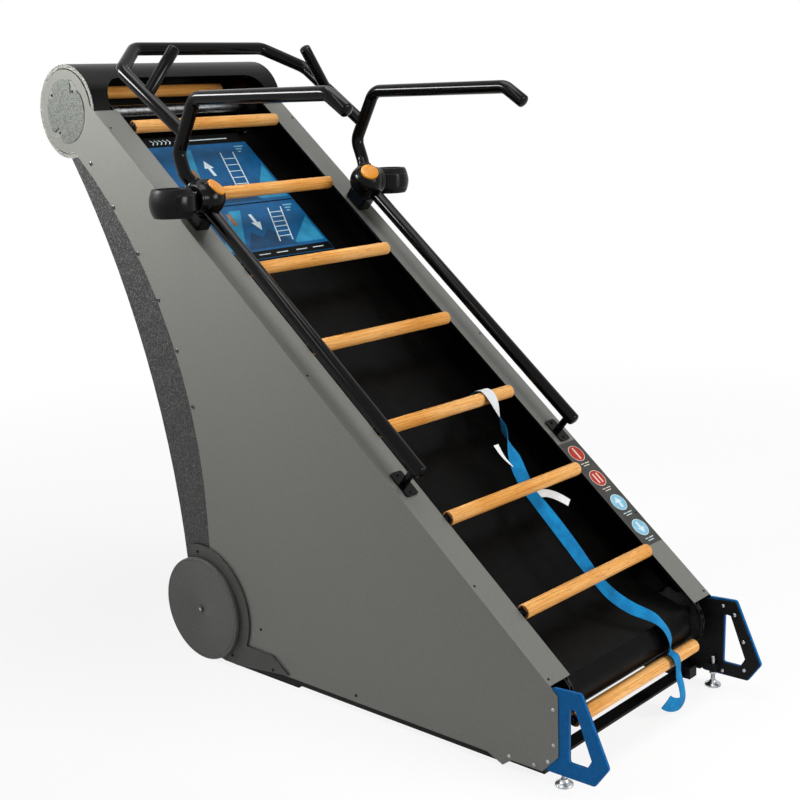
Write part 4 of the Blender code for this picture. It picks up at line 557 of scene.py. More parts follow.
# Handlebar: two forward handles, two short grips and the rear bow, welded as one
TUBE_RADIUS, TUBE_BEND = 0.019, 0.045
GRIP_RADIUS = 0.0171
HANDLE = [(0.340, 0.352, 1.392), (0.354, 0.374, 1.424), (0.354, 0.396, 1.483), (0.354, 0.313, 1.630),
          (0.354, -0.195, 1.630), (0.354, -0.257, 1.589)]
GRIP = [(0.356, 0.518, 1.637), (0.306, 0.512, 1.701), (0.256, 0.506, 1.7648)]
HALF_BOW = [(0.354, 0.366, 1.536), (0.359, 0.618, 1.711), (0.248, 0.697, 1.774)]
shape = bmesh.new()
for side in (-1.0, 1.0):
    hose(shape, rounded(mirrored(HANDLE, side), TUBE_BEND, 9), TUBE_RADIUS, end_depth=0.45)
    hose(shape, mirrored(GRIP, side), GRIP_RADIUS, end_depth=0.35)
hose(shape, rounded(mirrored(HALF_BOW, 1.0) + mirrored(HALF_BOW[::-1], -1.0), TUBE_BEND, 9), TUBE_RADIUS)
make("handlebar_tubes", shape, (GLOSS_BLACK,), "frame", ("handlebar",))

# Handrails: a tube along the slope, carried below by a strut on a screwed foot plate
HANDRAIL_X, HANDRAIL_HEIGHT = 0.331, 0.069
HANDRAIL_S = (0.640, 1.2, 1.64)
STRUT_S, STRUT_RADIUS = 0.657, 0.0105
for word, side in SIDES:
    shape = bmesh.new()
    hose(shape, [climb(side * HANDRAIL_X, s, HANDRAIL_HEIGHT) for s in HANDRAIL_S], TUBE_RADIUS)
    hose(shape, [climb(side * HANDRAIL_X, STRUT_S, n) for n in (0.004, 0.030, 0.066)], STRUT_RADIUS, 20)
    foot_plate = [climb(side * HANDRAIL_X + x, STRUT_S + s, 0.3 * MM)
                  for x, s in round_plate(0.021, 0.039, 0.006)]
    slab(shape, foot_plate, OFF_SLOPE * 4.5 * MM)
    make(f"handrail_tube_{word}", shape, (GLOSS_BLACK,), "frame", (f"handrail_{word}",))
    shape = bmesh.new()
    for s in (-0.028, 0.028):
        bolt(shape, climb(side * HANDRAIL_X, STRUT_S + s, 4.8 * MM), OFF_SLOPE, 5.5 * MM, 3.2 * MM)
    make(f"handrail_foot_screws_{word}", shape, (SATIN_BLACK,), "frame")

# Screws and bolts on both sides, as (y, z) places, s places on the flange and heights on the rear cover
PANEL_SCREWS = [(0.782, 1.452), (0.689, 1.327), (0.591, 1.198), (0.512, 1.069), (0.445, 0.927),
                (0.391, 0.769)]
PANEL_BOLTS = [(-0.868, 0.198), (-0.868, 0.107), (-0.851, 0.059), (-0.810, 0.038), (-0.734, 0.036)]
PANEL_RIVETS = [(0.158, 0.144), (-0.214, 0.047)]
WHEEL_PLATE_SCREWS = [(0.411, 0.329), (0.284, 0.034), (0.110, 0.035)]
WHEEL_PLATE_X = PANEL_X + 6.2 * MM
INNER_PLATE_BOLTS = [(-0.908, 0.237), (-0.943, 0.218), (-0.971, 0.147), (-0.975, 0.066), (-0.909, 0.048)]
INNER_PLATE_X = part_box("front_inner_plate_right")[1].x - 4.0 * MM
FLANGE_SCREW_X = 0.360
FLANGE_SCREWS = [0.046, 0.332, 1.050, 2.050]
COVER_SCREW_X = 0.352
COVER_SCREW_HEIGHTS = [0.45, 0.62, 0.79, 0.96, 1.13, 1.30]
# The cover's screws sit where rays from this y behind the machine meet its face
BEHIND = 2.0
rear_cover = frame["nodes"]["rear_cover"]
graph = bpy.context.evaluated_depsgraph_get()
# The end of each axle stands 0.35 mm proud of its plate
axle_end_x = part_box("wheel_plate_right")[1].x - 0.4 * MM
low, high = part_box("transport_wheel_right")
axle = (low + high) / 2.0
for word, side in SIDES:
    out = X_AXIS * side
    dark = bmesh.new()
    bright = bmesh.new()
    edge_screws = bmesh.new()
    for screws, places, x, way, radius_mm, height_mm in (
            (edge_screws, PANEL_SCREWS, PANEL_X, out, 6.5, 3.6),
            (dark, PANEL_RIVETS, PANEL_X, out, 4.5, 1.6),
            (dark, WHEEL_PLATE_SCREWS, WHEEL_PLATE_X, out, 5.0, 2.0),
            (bright, PANEL_BOLTS, PANEL_X, out, 4.6, 2.4),
            (bright, INNER_PLATE_BOLTS, INNER_PLATE_X, -out, 5.2, 2.8)):
        for y, z in places:
            bolt(screws, (side * x, y, z), way, radius_mm * MM, height_mm * MM)
    for s in FLANGE_SCREWS:
        bolt(dark, climb(side * FLANGE_SCREW_X, s, 0.0), OFF_SLOPE, 3.4 * MM, 1.5 * MM)
    bolt(bright, (side * axle_end_x, axle.y, axle.z), out, 5.0 * MM, 0.75 * MM)
    for z in COVER_SCREW_HEIGHTS:
        hit = rear_cover.ray_cast((side * COVER_SCREW_X, BEHIND, z), -Y_AXIS, depsgraph=graph)
        bolt(edge_screws, hit[1], hit[2], 5.5 * MM, 3.0 * MM)
    make(f"edge_screws_{word}", edge_screws, (SCREW_BLACK,), "frame")
    make(f"dark_screws_{word}", dark, (SATIN_BLACK,), "frame")
    make(f"bright_bolts_{word}", bright, (ZINC,), "frame")

# Front cross bar between the base rails: a flat bar, because daylight shows under the lowest rung
CROSS_BAR_HEIGHT = 8.0 * MM
low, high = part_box("base_cross_front")
shape = bmesh.new()
corners = ((low.x, low.y), (high.x, low.y), (high.x, high.y), (low.x, high.y))
slab(shape, [(x, y, low.z) for x, y in corners], Z_AXIS * CROSS_BAR_HEIGHT)
make("front_cross_bar", shape, (SATIN_BLACK,), "frame", ("base_cross_front",), edge=1.0 * MM)

# Round plate at each end of the drum: a pale disc with a speckled cover that has three bites with a screw in
# each, and black strips along two of the bites and along part of the cover's edge: painted shadow lines.
# Places are a turn in degrees, counted upwards from the front of the climber, and a share of the radius.
PLATE_RADIUS = 0.093
PLATE_BACK, PLATE_FACE = 0.3705, 0.3728
PLATE_OUTLINE = [(turn, 0.985) for turn in range(132, 70, -6)]
PLATE_OUTLINE += [(69, 0.90), (64, 0.76), (57, 0.63), (50, 0.70), (45, 0.90)]
PLATE_OUTLINE += [(turn, 0.985) for turn in range(42, -112, -6)]
PLATE_OUTLINE += [(-114, 0.90), (-118, 0.76), (-131, 0.68), (-136, 0.90)]
PLATE_OUTLINE += [(turn, 0.985) for turn in range(-138, -204, -6)]
PLATE_OUTLINE += [(-206, 0.93), (-211, 0.78), (-222, 0.82), (-226, 0.94)]
PLATE_SHADOW_LINES = [[(69, 0.93), (65, 0.84), (64, 0.76), (57, 0.62)], [(-131, 0.67), (-136, 0.91)],
               [(44, 0.93), (30, 0.995), (15, 1.0), (0, 1.0)]]
PLATE_SCREWS = [(54, 0.76), (-123, 0.78), (-217, 0.86)]


def on_plate(side, turn, share, x=PLATE_FACE):
    """The point on a drum plate at a turn in degrees and a share of the radius."""
    radius = PLATE_RADIUS * share
    turn = math.radians(turn)
    return Vector((side * x, DRUM_Y - radius * math.cos(turn), DRUM_Z + radius * math.sin(turn)))


for word, side in SIDES:
    out = X_AXIS * side
    centre = Vector((side * PLATE_BACK, DRUM_Y, DRUM_Z))
    depth = PLATE_FACE - PLATE_BACK
    shape = bmesh.new()
    profile = [(0.0, 0.0), (PLATE_RADIUS, 0.0), (PLATE_RADIUS, depth - 0.5 * MM),
               (PLATE_RADIUS - 0.5 * MM, depth), (0.0, depth)]
    lathe(shape, profile, centre, out, 96)
    make(f"drum_end_disc_{word}", shape, (GREY,), "frame", (f"drum_plate_{word}",))
    shape = bmesh.new()
    outline = [on_plate(side, turn, share) for turn, share in PLATE_OUTLINE]
    slab(shape, rounded(outline, 4.0 * MM, 4, True), out * 0.9 * MM)
    make(f"drum_end_cover_{word}", shape, (PLATE_GREY,), "frame", edge=0.2 * MM)
    # Black strips that stand for the shade in the slots and along the cover's edge: painted shadow lines
    shape = bmesh.new()
    for line in PLATE_SHADOW_LINES:
        for start, end in zip(line, line[1:]):
            low, high = on_plate(side, *start), on_plate(side, *end)
            wide = (high - low).cross(out).normalized() * 1.3 * MM
            slab(shape, [low - wide, low + wide, high + wide, high - wide], out * 1.0 * MM)
    make(f"drum_end_painted_shadow_lines_{word}", shape, (SATIN_BLACK,), "frame")
    shape = bmesh.new()
    for turn, share in PLATE_SCREWS:
        bolt(shape, on_plate(side, turn, share), out, 4.4 * MM, 2.4 * MM)
    make(f"drum_end_screws_{word}", shape, (SATIN_BLACK,), "frame")
    shape = bmesh.new()
    rim_x = PLATE_BACK - 0.3 * MM
    outer = [on_plate(side, turn, DRUM_RADIUS / PLATE_RADIUS, rim_x) for turn in range(-118, -75, 3)]
    inner = [on_plate(side, turn, HEAD_EDGE / PLATE_RADIUS, rim_x) for turn in range(-76, -119, -3)]
    slab(shape, outer + inner, out * 0.2 * MM)
    make(f"drum_rim_strip_{word}", shape, (DRUM_BLACK,), "frame")

# Hubs: ball, barrel, saddle round the cup holder, socket of the handle and foot, cast as one
HUB_X, HUB_Y, HUB_Z = 0.320, 0.328, 1.360
# Radius of the ball, radius of the flat seat of its cap, and end of the barrel before the middle of the cup
BALL, CAP_SEAT, BARREL_END = 0.0515, 0.0330, 0.0645
# Outer radius and middle height of the saddle, its first turn and reach in degrees, and its play to the cup
SADDLE, SADDLE_Z = 0.0670, 1.354
SADDLE_FROM, SADDLE_REACH = -10.0, 143.0
SADDLE_PLAY = 0.4 * MM
# How far the foot is shifted off the middle of the ball
FOOT_SHIFT = 0.006
# Cup holders: middle, height range, radius of the rim, how far the side bulges, radius of the hole, lip
CUP_X, CUP_Y = 0.434, 0.339
CUP_LOW, CUP_HIGH = 1.315, 1.393
CUP_RIM, CUP_BULGE, CUP_HOLE = 0.053, 0.0095, 0.041
CUP_LIP = 2.5 * MM


def cup_radius(z):
    """The radius of the bulged cup at a height."""
    return CUP_RIM + CUP_BULGE * math.sin(math.pi * (z - CUP_LOW) / (CUP_HIGH - CUP_LOW))


def add_saddle(shape, side):
    """Add the part of a ring that holds the cup from in front. It thins out towards its far end."""
    heights = [SADDLE_Z + step * 4.6 * MM for step in range(-5, 6)]
    rows = []
    steps = 26
    for step in range(steps + 1):
        turn = math.radians(SADDLE_FROM + SADDLE_REACH * step / steps)
        fade = min(1.0, 2.2 * (1.0 - step / steps))
        seats = [(cup_radius(z) + SADDLE_PLAY, z) for z in heights]
        ring = [(seat + (SADDLE - seat) * fade, z) for seat, z in seats] + seats[::-1]
        across, along = side * math.cos(turn), math.sin(turn)
        rows.append([shape.verts.new((side * CUP_X - radius * across, CUP_Y - radius * along, z))
                     for radius, z in ring])
    skin(shape, rows, len(ring))
    shape.faces.new(rows[0])
    shape.faces.new(rows[-1][::-1])


def make_hub(word, side):
    """The cast hub, with the orange cap on its seat."""
    shape = bmesh.new()
    centre = Vector((side * HUB_X, HUB_Y, HUB_Z))
    cap_way = Vector((-side * 0.30, -0.65, 0.70)).normalized()
    start, end = -math.pi / 2.0, math.acos(CAP_SEAT / BALL)
    turns = [start + (end - start) * step / 24 for step in range(1, 25)]
    ball = [(0.0, -BALL)] + [(BALL * math.cos(turn), BALL * math.sin(turn)) for turn in turns]
    ball += [(0.0318, 0.0418), (0.0300, 0.0424), (0.0300, 0.0345), (0.0, 0.0345)]
    lathe(shape, ball, centre, cap_way, 72)
    length = CUP_X - HUB_X - BARREL_END
    barrel = [(0.0, 0.0), (0.0430, 0.0), (0.0415, length * 0.62), (0.0428, length * 0.63),
              (0.0428, length * 0.69), (0.0412, length * 0.70), (0.0398, length), (0.0, length)]
    lathe(shape, barrel, centre, X_AXIS * side, 64)
    add_saddle(shape, side)
    handle_end, handle_bend = mirrored(HANDLE[:2], side)
    socket = [(0.0, -0.010), (0.0245, -0.010), (0.0245, 0.012), (0.0228, 0.014), (0.0, 0.014)]
    lathe(shape, socket, handle_end, handle_bend - handle_end, 48)
    hub_s = (HUB_Y - CORNER_Y) * math.cos(SLOPE) + (HUB_Z - CORNER_Z) * math.sin(SLOPE)
    foot = [climb(side * (HUB_X + FOOT_SHIFT) + x, hub_s - FOOT_SHIFT + s, 0.6 * MM)
            for x, s in round_plate(0.0245, 0.037, 0.008)]
    slab(shape, foot, OFF_SLOPE * 0.045)
    hub = make(f"hub_casting_{word}", shape, (GLOSS_ABS,), "frame", (f"hub_{word}",))
    fuse = hub.modifiers.new("cast_as_one", "REMESH")
    fuse.mode = "VOXEL"
    fuse.voxel_size = 1.9 * MM
    fuse.use_smooth_shade = True
    ease = hub.modifiers.new("eased_corners", "SMOOTH")
    ease.factor = 0.5
    ease.iterations = 5
    shape = bmesh.new()
    cap = [(0.0, 0.036), (0.0280, 0.036), (0.0280, 0.0436), (0.0274, 0.0446)]
    cap += [(0.0274 * math.cos(turn), 0.0446 + 0.0028 * math.sin(turn)) for turn in (0.5, 0.9, 1.2)]
    lathe(shape, cap + [(0.0, 0.0474)], centre, cap_way, 56)
    make(f"orange_cap_{word}", shape, (ORANGE,), "frame", (f"hub_cap_{word}",))


def make_cup(word, side):
    """The cup holder: a bulged cup with a rounded lip and a ribbed floor."""
    steps = 14
    heights = [CUP_LOW + (CUP_HIGH - CUP_LOW) * step / steps for step in range(steps)]
    lip_turns = (0.0, 0.5, 1.05, math.pi / 2.0)
    profile = [(0.0, CUP_LOW), (cup_radius(CUP_LOW) - CUP_LIP, CUP_LOW)]
    profile += [(cup_radius(z), z) for z in heights[1:]]
    profile += [(CUP_RIM - CUP_LIP + CUP_LIP * math.cos(turn), CUP_HIGH - CUP_LIP + CUP_LIP * math.sin(turn))
                for turn in lip_turns]
    profile += [(CUP_HOLE + CUP_LIP - CUP_LIP * math.sin(turn), CUP_HIGH - CUP_LIP + CUP_LIP * math.cos(turn))
                for turn in lip_turns]
    profile += [(CUP_HOLE, CUP_LOW + 0.010), (CUP_HOLE - 4.0 * MM, CUP_LOW + 4.5 * MM),
                (0.012, CUP_LOW + 4.2 * MM), (0.010, CUP_LOW + 5.2 * MM), (0.0, CUP_LOW + 5.2 * MM)]
    shape = bmesh.new()
    lathe(shape, profile, (side * CUP_X, CUP_Y, 0.0), Z_AXIS, 72)
    make(f"cup_{word}", shape, (BLACK_ABS,), "frame", (f"cup_holder_{word}",))


# Transport wheels and levelling feet
WHEEL_BORE, WHEEL_EDGE = 0.0073, 3.2 * MM
THREAD_PITCH, THREAD_START, NUT_HEIGHT = 2.0 * MM, 0.020, 0.036


def make_wheel(word, side):
    """A turned disc with round edges, a fine groove inside its rim and a shallow recess round its bore."""
    low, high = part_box(f"transport_wheel_{word}")
    thick = high.x - low.x
    rim = (high.z - low.z) / 2.0
    inner = Vector((low.x if side > 0 else high.x, (low.y + high.y) / 2.0, (low.z + high.z) / 2.0))
    edge = WHEEL_EDGE
    profile = [(WHEEL_BORE, 0.0), (rim - edge, 0.0)]
    profile += [(rim - edge + edge * math.sin(turn), edge - edge * math.cos(turn))
                for turn in (0.5, 1.0, math.pi / 2.0)]
    profile += [(rim - edge + edge * math.cos(turn), thick - edge + edge * math.sin(turn))
                for turn in (0.0, 0.5, 1.0, math.pi / 2.0)]
    groove, recess = thick - 0.8 * MM, thick - 0.6 * MM
    profile += [(rim - 7.0 * MM, thick), (rim - 7.6 * MM, groove), (rim - 8.6 * MM, groove),
                (rim - 9.2 * MM, thick), (0.030, thick), (0.028, recess), (WHEEL_BORE, recess)]
    shape = bmesh.new()
    lathe(shape, profile, inner, X_AXIS * side, 96, closed=True)
    make(f"wheel_disc_{word}", shape, (WHEEL_BLACK,), f"wheel_{word}", (f"transport_wheel_{word}",))


def make_foot(word, side):
    """A pressed foot on a threaded stud with its lock nut."""
    low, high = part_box(f"levelling_foot_{word}")
    centre = Vector(((low.x + high.x) / 2.0, (low.y + high.y) / 2.0, 0.0))
    wide = (high.x - low.x) / 2.0
    profile = [(0.0, 0.0), (wide - 1.0 * MM, 0.0), (wide, 1.0 * MM), (wide, 4.5 * MM),
               (wide - 2.0 * MM, 7.0 * MM), (wide * 0.62, 9.0 * MM), (0.010, 14.0 * MM), (0.0085, 17.0 * MM),
               (0.0054, 18.0 * MM)]
    for index in range(int((high.z - 0.022) / THREAD_PITCH)):
        z = THREAD_START + index * THREAD_PITCH
        profile += [(5.3 * MM, z), (6.0 * MM, z + 0.7 * MM), (6.0 * MM, z + 1.0 * MM),
                    (5.3 * MM, z + 1.7 * MM)]
    profile += [(5.2 * MM, high.z - 0.5 * MM), (4.6 * MM, high.z), (0.0, high.z)]
    shape = bmesh.new()
    lathe(shape, profile, centre, Z_AXIS, 36)
    nut = [(0.0, 0.0), (9.4 * MM, 0.0), (10.0 * MM, 0.6 * MM), (10.0 * MM, 5.4 * MM), (9.4 * MM, 6.0 * MM),
           (0.0, 6.0 * MM)]
    lathe(shape, nut, centre + Z_AXIS * NUT_HEIGHT, Z_AXIS, 6)
    make(f"foot_and_stud_{word}", shape, (ZINC,), f"foot_{word}", (f"levelling_foot_{word}",))


for word, side in SIDES:
    make_hub(word, side)
    make_cup(word, side)
    make_wheel(word, side)
    make_foot(word, side)


# Sign on the deck and decal strip on the right flange: generic prints, in thin layers
PRINT_LIFT, PRINT_THICKNESS = 0.12 * MM, 0.10 * MM
SIGN_TOP = -0.0967 + 0.02 * MM
DECK_TOP = SIGN_TOP - 3.0 * MM
SIGN_HALF = 0.208
DECAL_TOP = 0.03 * MM
ICON_X, ICON_RADIUS = 0.331, 0.028


def printed(name, ink, top, layer, outlines):
    """Printed shapes on a face at height top, given as outlines of (x, s) pairs."""
    shape = bmesh.new()
    for outline in outlines:
        lifted = [climb(x, s, top + layer * PRINT_LIFT) for x, s in outline]
        slab(shape, lifted, OFF_SLOPE * PRINT_THICKNESS)
    make(name, shape, (PRINT[ink],), "frame")


def bar(x_from, s_from, x_to, s_to, width):
    """The outline of a straight printed line."""
    way = Vector((x_to - x_from, s_to - s_from)).normalized() * width / 2.0
    return [(x_from - way.y, s_from + way.x), (x_from + way.y, s_from - way.x), (x_to + way.y, s_to - way.x),
            (x_to - way.y, s_to + way.x)]


def block(x_from, s_from, x_to, s_to):
    """The outline of a rectangle."""
    return [(x_from, s_from), (x_to, s_from), (x_to, s_to), (x_from, s_to)]


def disc(x, s, radius):
    """The outline of a printed disc."""
    turns = [2.0 * math.pi * step / 40 for step in range(40)]
    return [(x + radius * math.cos(turn), s + radius * math.sin(turn)) for turn in turns]


def arrow(x, s, length, width, up):
    """The outline of an arrow that points up the slope for up 1, and down it for up -1."""
    tail, tip = s - up * length / 2, s + up * length / 2
    return [[(x - width / 6, tail), (x + width / 6, tail), (x + width / 6, s), (x + width / 2, s), (x, tip),
             (x - width / 2, s), (x - width / 6, s)]]


def ladder(x, s, height, width, lean):
    """A leaning ladder drawn in lines."""
    lines = []
    for edge in (-width / 2.0, width / 2.0):
        lines.append(bar(x + edge, s, x + edge + lean, s + height, 4.0 * MM))
    for step in range(1, 7):
        shift, rise = lean * step / 7.0, height * step / 7.0
        lines.append(bar(x - width / 2.0 + shift, s + rise, x + width / 2.0 + shift, s + rise, 3.0 * MM))
    return lines


printed("sign_header", "black", DECK_TOP, 0, [block(-SIGN_HALF, 2.062, SIGN_HALF, 2.106)])
chevrons = []
for index in range(5):
    x = -0.150 + index * 0.016
    chevrons += [bar(x, 2.074, x + 0.009, 2.084, 3.5 * MM), bar(x, 2.094, x + 0.009, 2.084, 3.5 * MM)]
header_line = bar(-0.060, 2.084, 0.150, 2.084, 4.0 * MM)
printed("sign_header_marks", "pale", DECK_TOP, 1, chevrons + [header_line])
printed("sign_footer", "black", SIGN_TOP, 0,
        [block(-SIGN_HALF, 1.557, SIGN_HALF, 1.587), block(-SIGN_HALF, 1.782, SIGN_HALF, 1.787)])
printed("sign_footer_marks", "pale", SIGN_TOP, 1,
        [bar(x, 1.572, x + 0.045, 1.572, 3.0 * MM) for x in (-0.160, -0.090, -0.020, 0.060, 0.130)])
# Two panels one above the other, each from its lower edge s: light beams, a hill, a ladder with an arrow
# beside it, two badges and lines
for index, (s, height) in enumerate(((1.790, 0.268), (1.590, 0.190))):
    low, high, top = s + 0.01, s + 0.6 * height, s + height
    left_beam = [(-0.205, low), (-0.120, low), (-0.030, top - 0.02), (-0.075, top - 0.02)]
    right_beam = [(0.075, low), (0.200, low), (0.200, high)]
    printed(f"sign_beams_{index + 1}", "cyan", SIGN_TOP, 0, [left_beam, right_beam])
    hill = [(-0.110, 0.006), (0.090, 0.006), (0.020, 0.085), (-0.020, 0.050), (-0.055, 0.075)]
    printed(f"sign_hills_{index + 1}", "deep_blue", SIGN_TOP, 1, [[(x, s + rise) for x, rise in hill]])
    x = 0.045 + 0.008 * index
    marks = ladder(x, s + 0.025, 0.75 * height, 0.052, 0.055)
    marks += arrow(x - 0.060, high, 0.070, 0.036, 1.0 if index == 0 else -1.0)
    printed(f"sign_ladder_{index + 1}", "pale", SIGN_TOP, 2, marks)
    badges = [block(-0.125, s + 0.125, -0.107, s + 0.175), block(-0.095, s + 0.110, -0.077, s + 0.160)]
    printed(f"sign_badges_{index + 1}", "amber", SIGN_TOP, 2, badges)
    lines = [bar(0.148, top - drop, 0.203 - drop, top - drop, 5.0 * MM) for drop in (0.018, 0.030, 0.042)]
    printed(f"sign_lines_{index + 1}", "sky", SIGN_TOP, 2, lines)

# Four round signs on the flange, each with three short lines below: two red ones with bars, two with arrows
printed("decal_strip", "slate", DECAL_TOP, 0, [block(0.2903, 0.229, 0.3708, 0.612)])
for index, s in enumerate((0.568, 0.473, 0.381, 0.288)):
    light, ground = ("cream", "red") if index < 2 else ("pale", "sky")
    printed(f"decal_border_{index + 1}", light, DECAL_TOP, 1, [disc(ICON_X, s, ICON_RADIUS)])
    printed(f"decal_disc_{index + 1}", ground, DECAL_TOP, 2, [disc(ICON_X, s, ICON_RADIUS - 1.8 * MM)])
    if index == 0:
        marks = [bar(ICON_X, s - 0.020, ICON_X, s + 0.020, 6.5 * MM)]
    elif index == 1:
        marks = [bar(x, s - 0.017, x, s + 0.017, 5.5 * MM) for x in (ICON_X - 0.008, ICON_X + 0.008)]
    else:
        marks = arrow(ICON_X, s, 0.038, 0.028, 1.0 if index == 2 else -1.0)
    for start, end, drop in ((0.312, 0.326, 0.038), (0.330, 0.350, 0.038), (0.318, 0.344, 0.046)):
        marks.append(bar(start, s - drop, end, s - drop, 2.6 * MM))
    printed(f"decal_marks_{index + 1}", light, DECAL_TOP, 3, marks)

# Strap: the route of its middle line from the white end down, as x, s, n and the twist in degrees. It goes on
# round the nose and the lowest rung, and ends in points in space.
STRAP_WIDTH = 0.042
STRAP_THICKNESS = 1.8 * MM
STRAP_ROUTE = [
    (0.165, 0.872, -0.052, 0.0), (0.165, 0.864, -0.022, 0.0), (0.166, 0.855, 0.008, 0.0),
    (0.167, 0.842, 0.0205, 0.0), (0.167, 0.822, 0.0225, 0.0), (0.165, 0.796, 0.017, -10.0),
    (0.160, 0.760, 0.003, -35.0), (0.155, 0.720, -0.010, -62.0), (0.148, 0.680, -0.021, -30.0),
    (0.135, 0.640, -0.028, 8.0), (0.118, 0.600, -0.032, 22.0), (0.102, 0.560, -0.032, 22.0),
    (0.090, 0.5245, -0.031, 15.0), (0.082, 0.470, -0.026, 22.0), (0.075, 0.400, -0.0235, 26.0),
    (0.070, 0.330, -0.0245, 24.0), (0.067, 0.270, -0.028, 18.0), (0.066, 0.2197, -0.029, 11.0),
    (0.070, 0.160, -0.027, 20.0), (0.088, 0.105, -0.020, 20.0), (0.117, 0.055, -0.009, 10.0),
]
STRAP_END = [(0.153, -0.894, 0.105), (0.156, -0.902, 0.072), (0.152, -0.908, 0.046), (0.140, -0.908, 0.033),
             (0.115, -0.905, 0.036), (0.094, -0.901, 0.046), (0.083, -0.899, 0.055)]
# Lower shaft, and the radii at which the strap goes round it and round the lowest rung
SHAFT_S, SHAFT_N = 0.0406, -0.09020
NOSE_CLEAR, RUNG_CLEAR = 0.081, 0.030
LABEL_WIDTH, FOLD_WIDTH, LABEL_THICKNESS = 0.024, 0.022, 0.7 * MM
LABEL_ROUTE = [(0.104, 0.508, -0.029, 20.0), (0.135, 0.500, -0.026, 35.0), (0.160, 0.478, -0.023, 40.0),
               (0.182, 0.446, -0.022, 35.0)]
LABEL_FOLD = [(0.094, 0.688, -0.020, 0.0), (0.094, 0.664, -0.025, 0.0), (0.097, 0.640, -0.029, 0.0),
              (0.104, 0.612, -0.031, 0.0)]


def on_slope(route):
    """Stations of a band, as 4D vectors with the twist last, from x, s, n and the twist."""
    return [Vector((*climb(x, s, n), twist)) for x, s, n, twist in route]


def round_bar(centre, radius, stations):
    """Untwisted stations of a band round a centre seen from the side, from (x, angle) pairs."""
    turns = [(x, math.radians(angle)) for x, angle in stations]
    return [Vector((x, centre.y + radius * math.cos(turn), centre.z + radius * math.sin(turn), 0.0))
            for x, turn in turns]


def spline(points, steps):
    """A smooth curve through points of any dimension."""
    result = []
    for index in range(len(points) - 1):
        before = points[max(index - 1, 0)]
        start, end = points[index], points[index + 1]
        after = points[min(index + 2, len(points) - 1)]
        for step in range(steps):
            share = step / steps
            square = (2.0 * before - 5.0 * start + 4.0 * end - after) * share ** 2
            cube = (3.0 * start - before - 3.0 * end + after) * share ** 3
            result.append(0.5 * (2.0 * start + (end - before) * share + square + cube))
    return result + [points[-1]]


def ribbon(places, width, thickness, cup=0.0, end_share=1.0):
    """A woven band along stations that narrows to end_share of its width. cup is how far its edges wave.

    Returns its shape and its length.
    """
    shape = bmesh.new()
    columns = 8
    layer = shape.loops.layers.uv.new("length_and_width")
    across = X_AXIS.copy()
    rows = []
    length = 0.0
    for index, place in enumerate(places):
        point = place.to_3d()
        along = (places[min(index + 1, len(places) - 1)] - places[max(index - 1, 0)]).to_3d().normalized()
        across = (across - along * across.dot(along)).normalized()
        side_way = Matrix.Rotation(math.radians(place[3]), 3, along) @ across
        up_way = side_way.cross(along)
        if index:
            length += (point - places[index - 1].to_3d()).length
        faces = []
        for face in (0.5, -0.5):
            row = []
            for column in range(columns + 1):
                share = column / columns - 0.5
                bow = cup * math.cos(2.0 * math.pi * share) * math.sin(9.0 * length)
                thin = 1.0 if 0 < column < columns else 0.45
                reach = width * share * (1.0 + (end_share - 1.0) * index / (len(places) - 1))
                corner = shape.verts.new(point + side_way * reach + up_way * (bow + thickness * face * thin))
                row.append((corner, (length, share * width)))
            faces.append(row)
        rows.append(faces[0] + faces[1][::-1])
    count = len(rows[0])

    def face(corners):
        """Add a face with the length and width of each corner."""
        made = shape.faces.new([corner[0] for corner in corners])
        for loop, corner in zip(made.loops, corners):
            loop[layer].uv = corner[1]

    for row, after in zip(rows, rows[1:]):
        for index in range(count):
            following = (index + 1) % count
            face((row[index], after[index], after[following], row[following]))
    face(rows[0])
    face(rows[-1][::-1])
    return shape, length


low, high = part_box("rung_16")
route = on_slope(STRAP_ROUTE)
route += round_bar(climb(0.0, SHAFT_S, SHAFT_N), NOSE_CLEAR, ((0.130, 141.0), (0.139, 161.0), (0.146, 182.0)))
route += round_bar((low + high) / 2.0, RUNG_CLEAR, ((0.150, 95.0), (0.151, 135.0), (0.152, 175.0)))
route += [Vector((*point, 0.0)) for point in STRAP_END]
shape, strap_length = ribbon(spline(route, 8), STRAP_WIDTH, STRAP_THICKNESS, cup=0.6 * MM)
strap = make("webbing_strap", shape, (WEBBING,), "front_run", ("strap",), angle=60.0)
strap.parent = None
strap.matrix_world = Matrix.Identity(4)
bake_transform(strap)
shape = ribbon(spline(on_slope(LABEL_ROUTE), 6), LABEL_WIDTH, LABEL_THICKNESS)[0]
label_piece = make("strap_label", shape, (SEWN_LABEL,), "front_run", angle=60.0)
shape = ribbon(spline(on_slope(LABEL_FOLD), 6), FOLD_WIDTH, LABEL_THICKNESS, end_share=0.15)[0]
fold_piece = make("strap_label_fold", shape, (SEWN_LABEL,), "front_run", angle=60.0)

# Camera: focal length and middle of the view in pixels of a square picture, place and direction
PICTURE, SENSOR = 800.0, 36.0
FOCAL = 1359.75
MIDDLE_X, MIDDLE_Y = 408.9, 409.6
CAMERA_PLACE = (-2.7708, -2.6202, 1.6363)
azimuth, elevation, roll = (math.radians(angle) for angle in (-47.777, 13.307, -2.049))
camera_data = bpy.data.cameras.new("camera")
camera = bpy.data.objects.new("camera", camera_data)
bpy.context.scene.collection.objects.link(camera)
bpy.context.scene.camera = camera
camera_data.sensor_width = SENSOR
camera_data.lens = FOCAL / PICTURE * SENSOR
camera_data.shift_x = (PICTURE / 2.0 - MIDDLE_X) / PICTURE
camera_data.shift_y = (MIDDLE_Y - PICTURE / 2.0) / PICTURE
back = Vector((math.sin(azimuth) * math.cos(elevation), -math.cos(azimuth) * math.cos(elevation),
               math.sin(elevation)))
right = (-back).cross(Z_AXIS).normalized()
up = right.cross(-back)
turned_right = right * math.cos(roll) + up * math.sin(roll)
turned_up = up * math.cos(roll) - right * math.sin(roll)
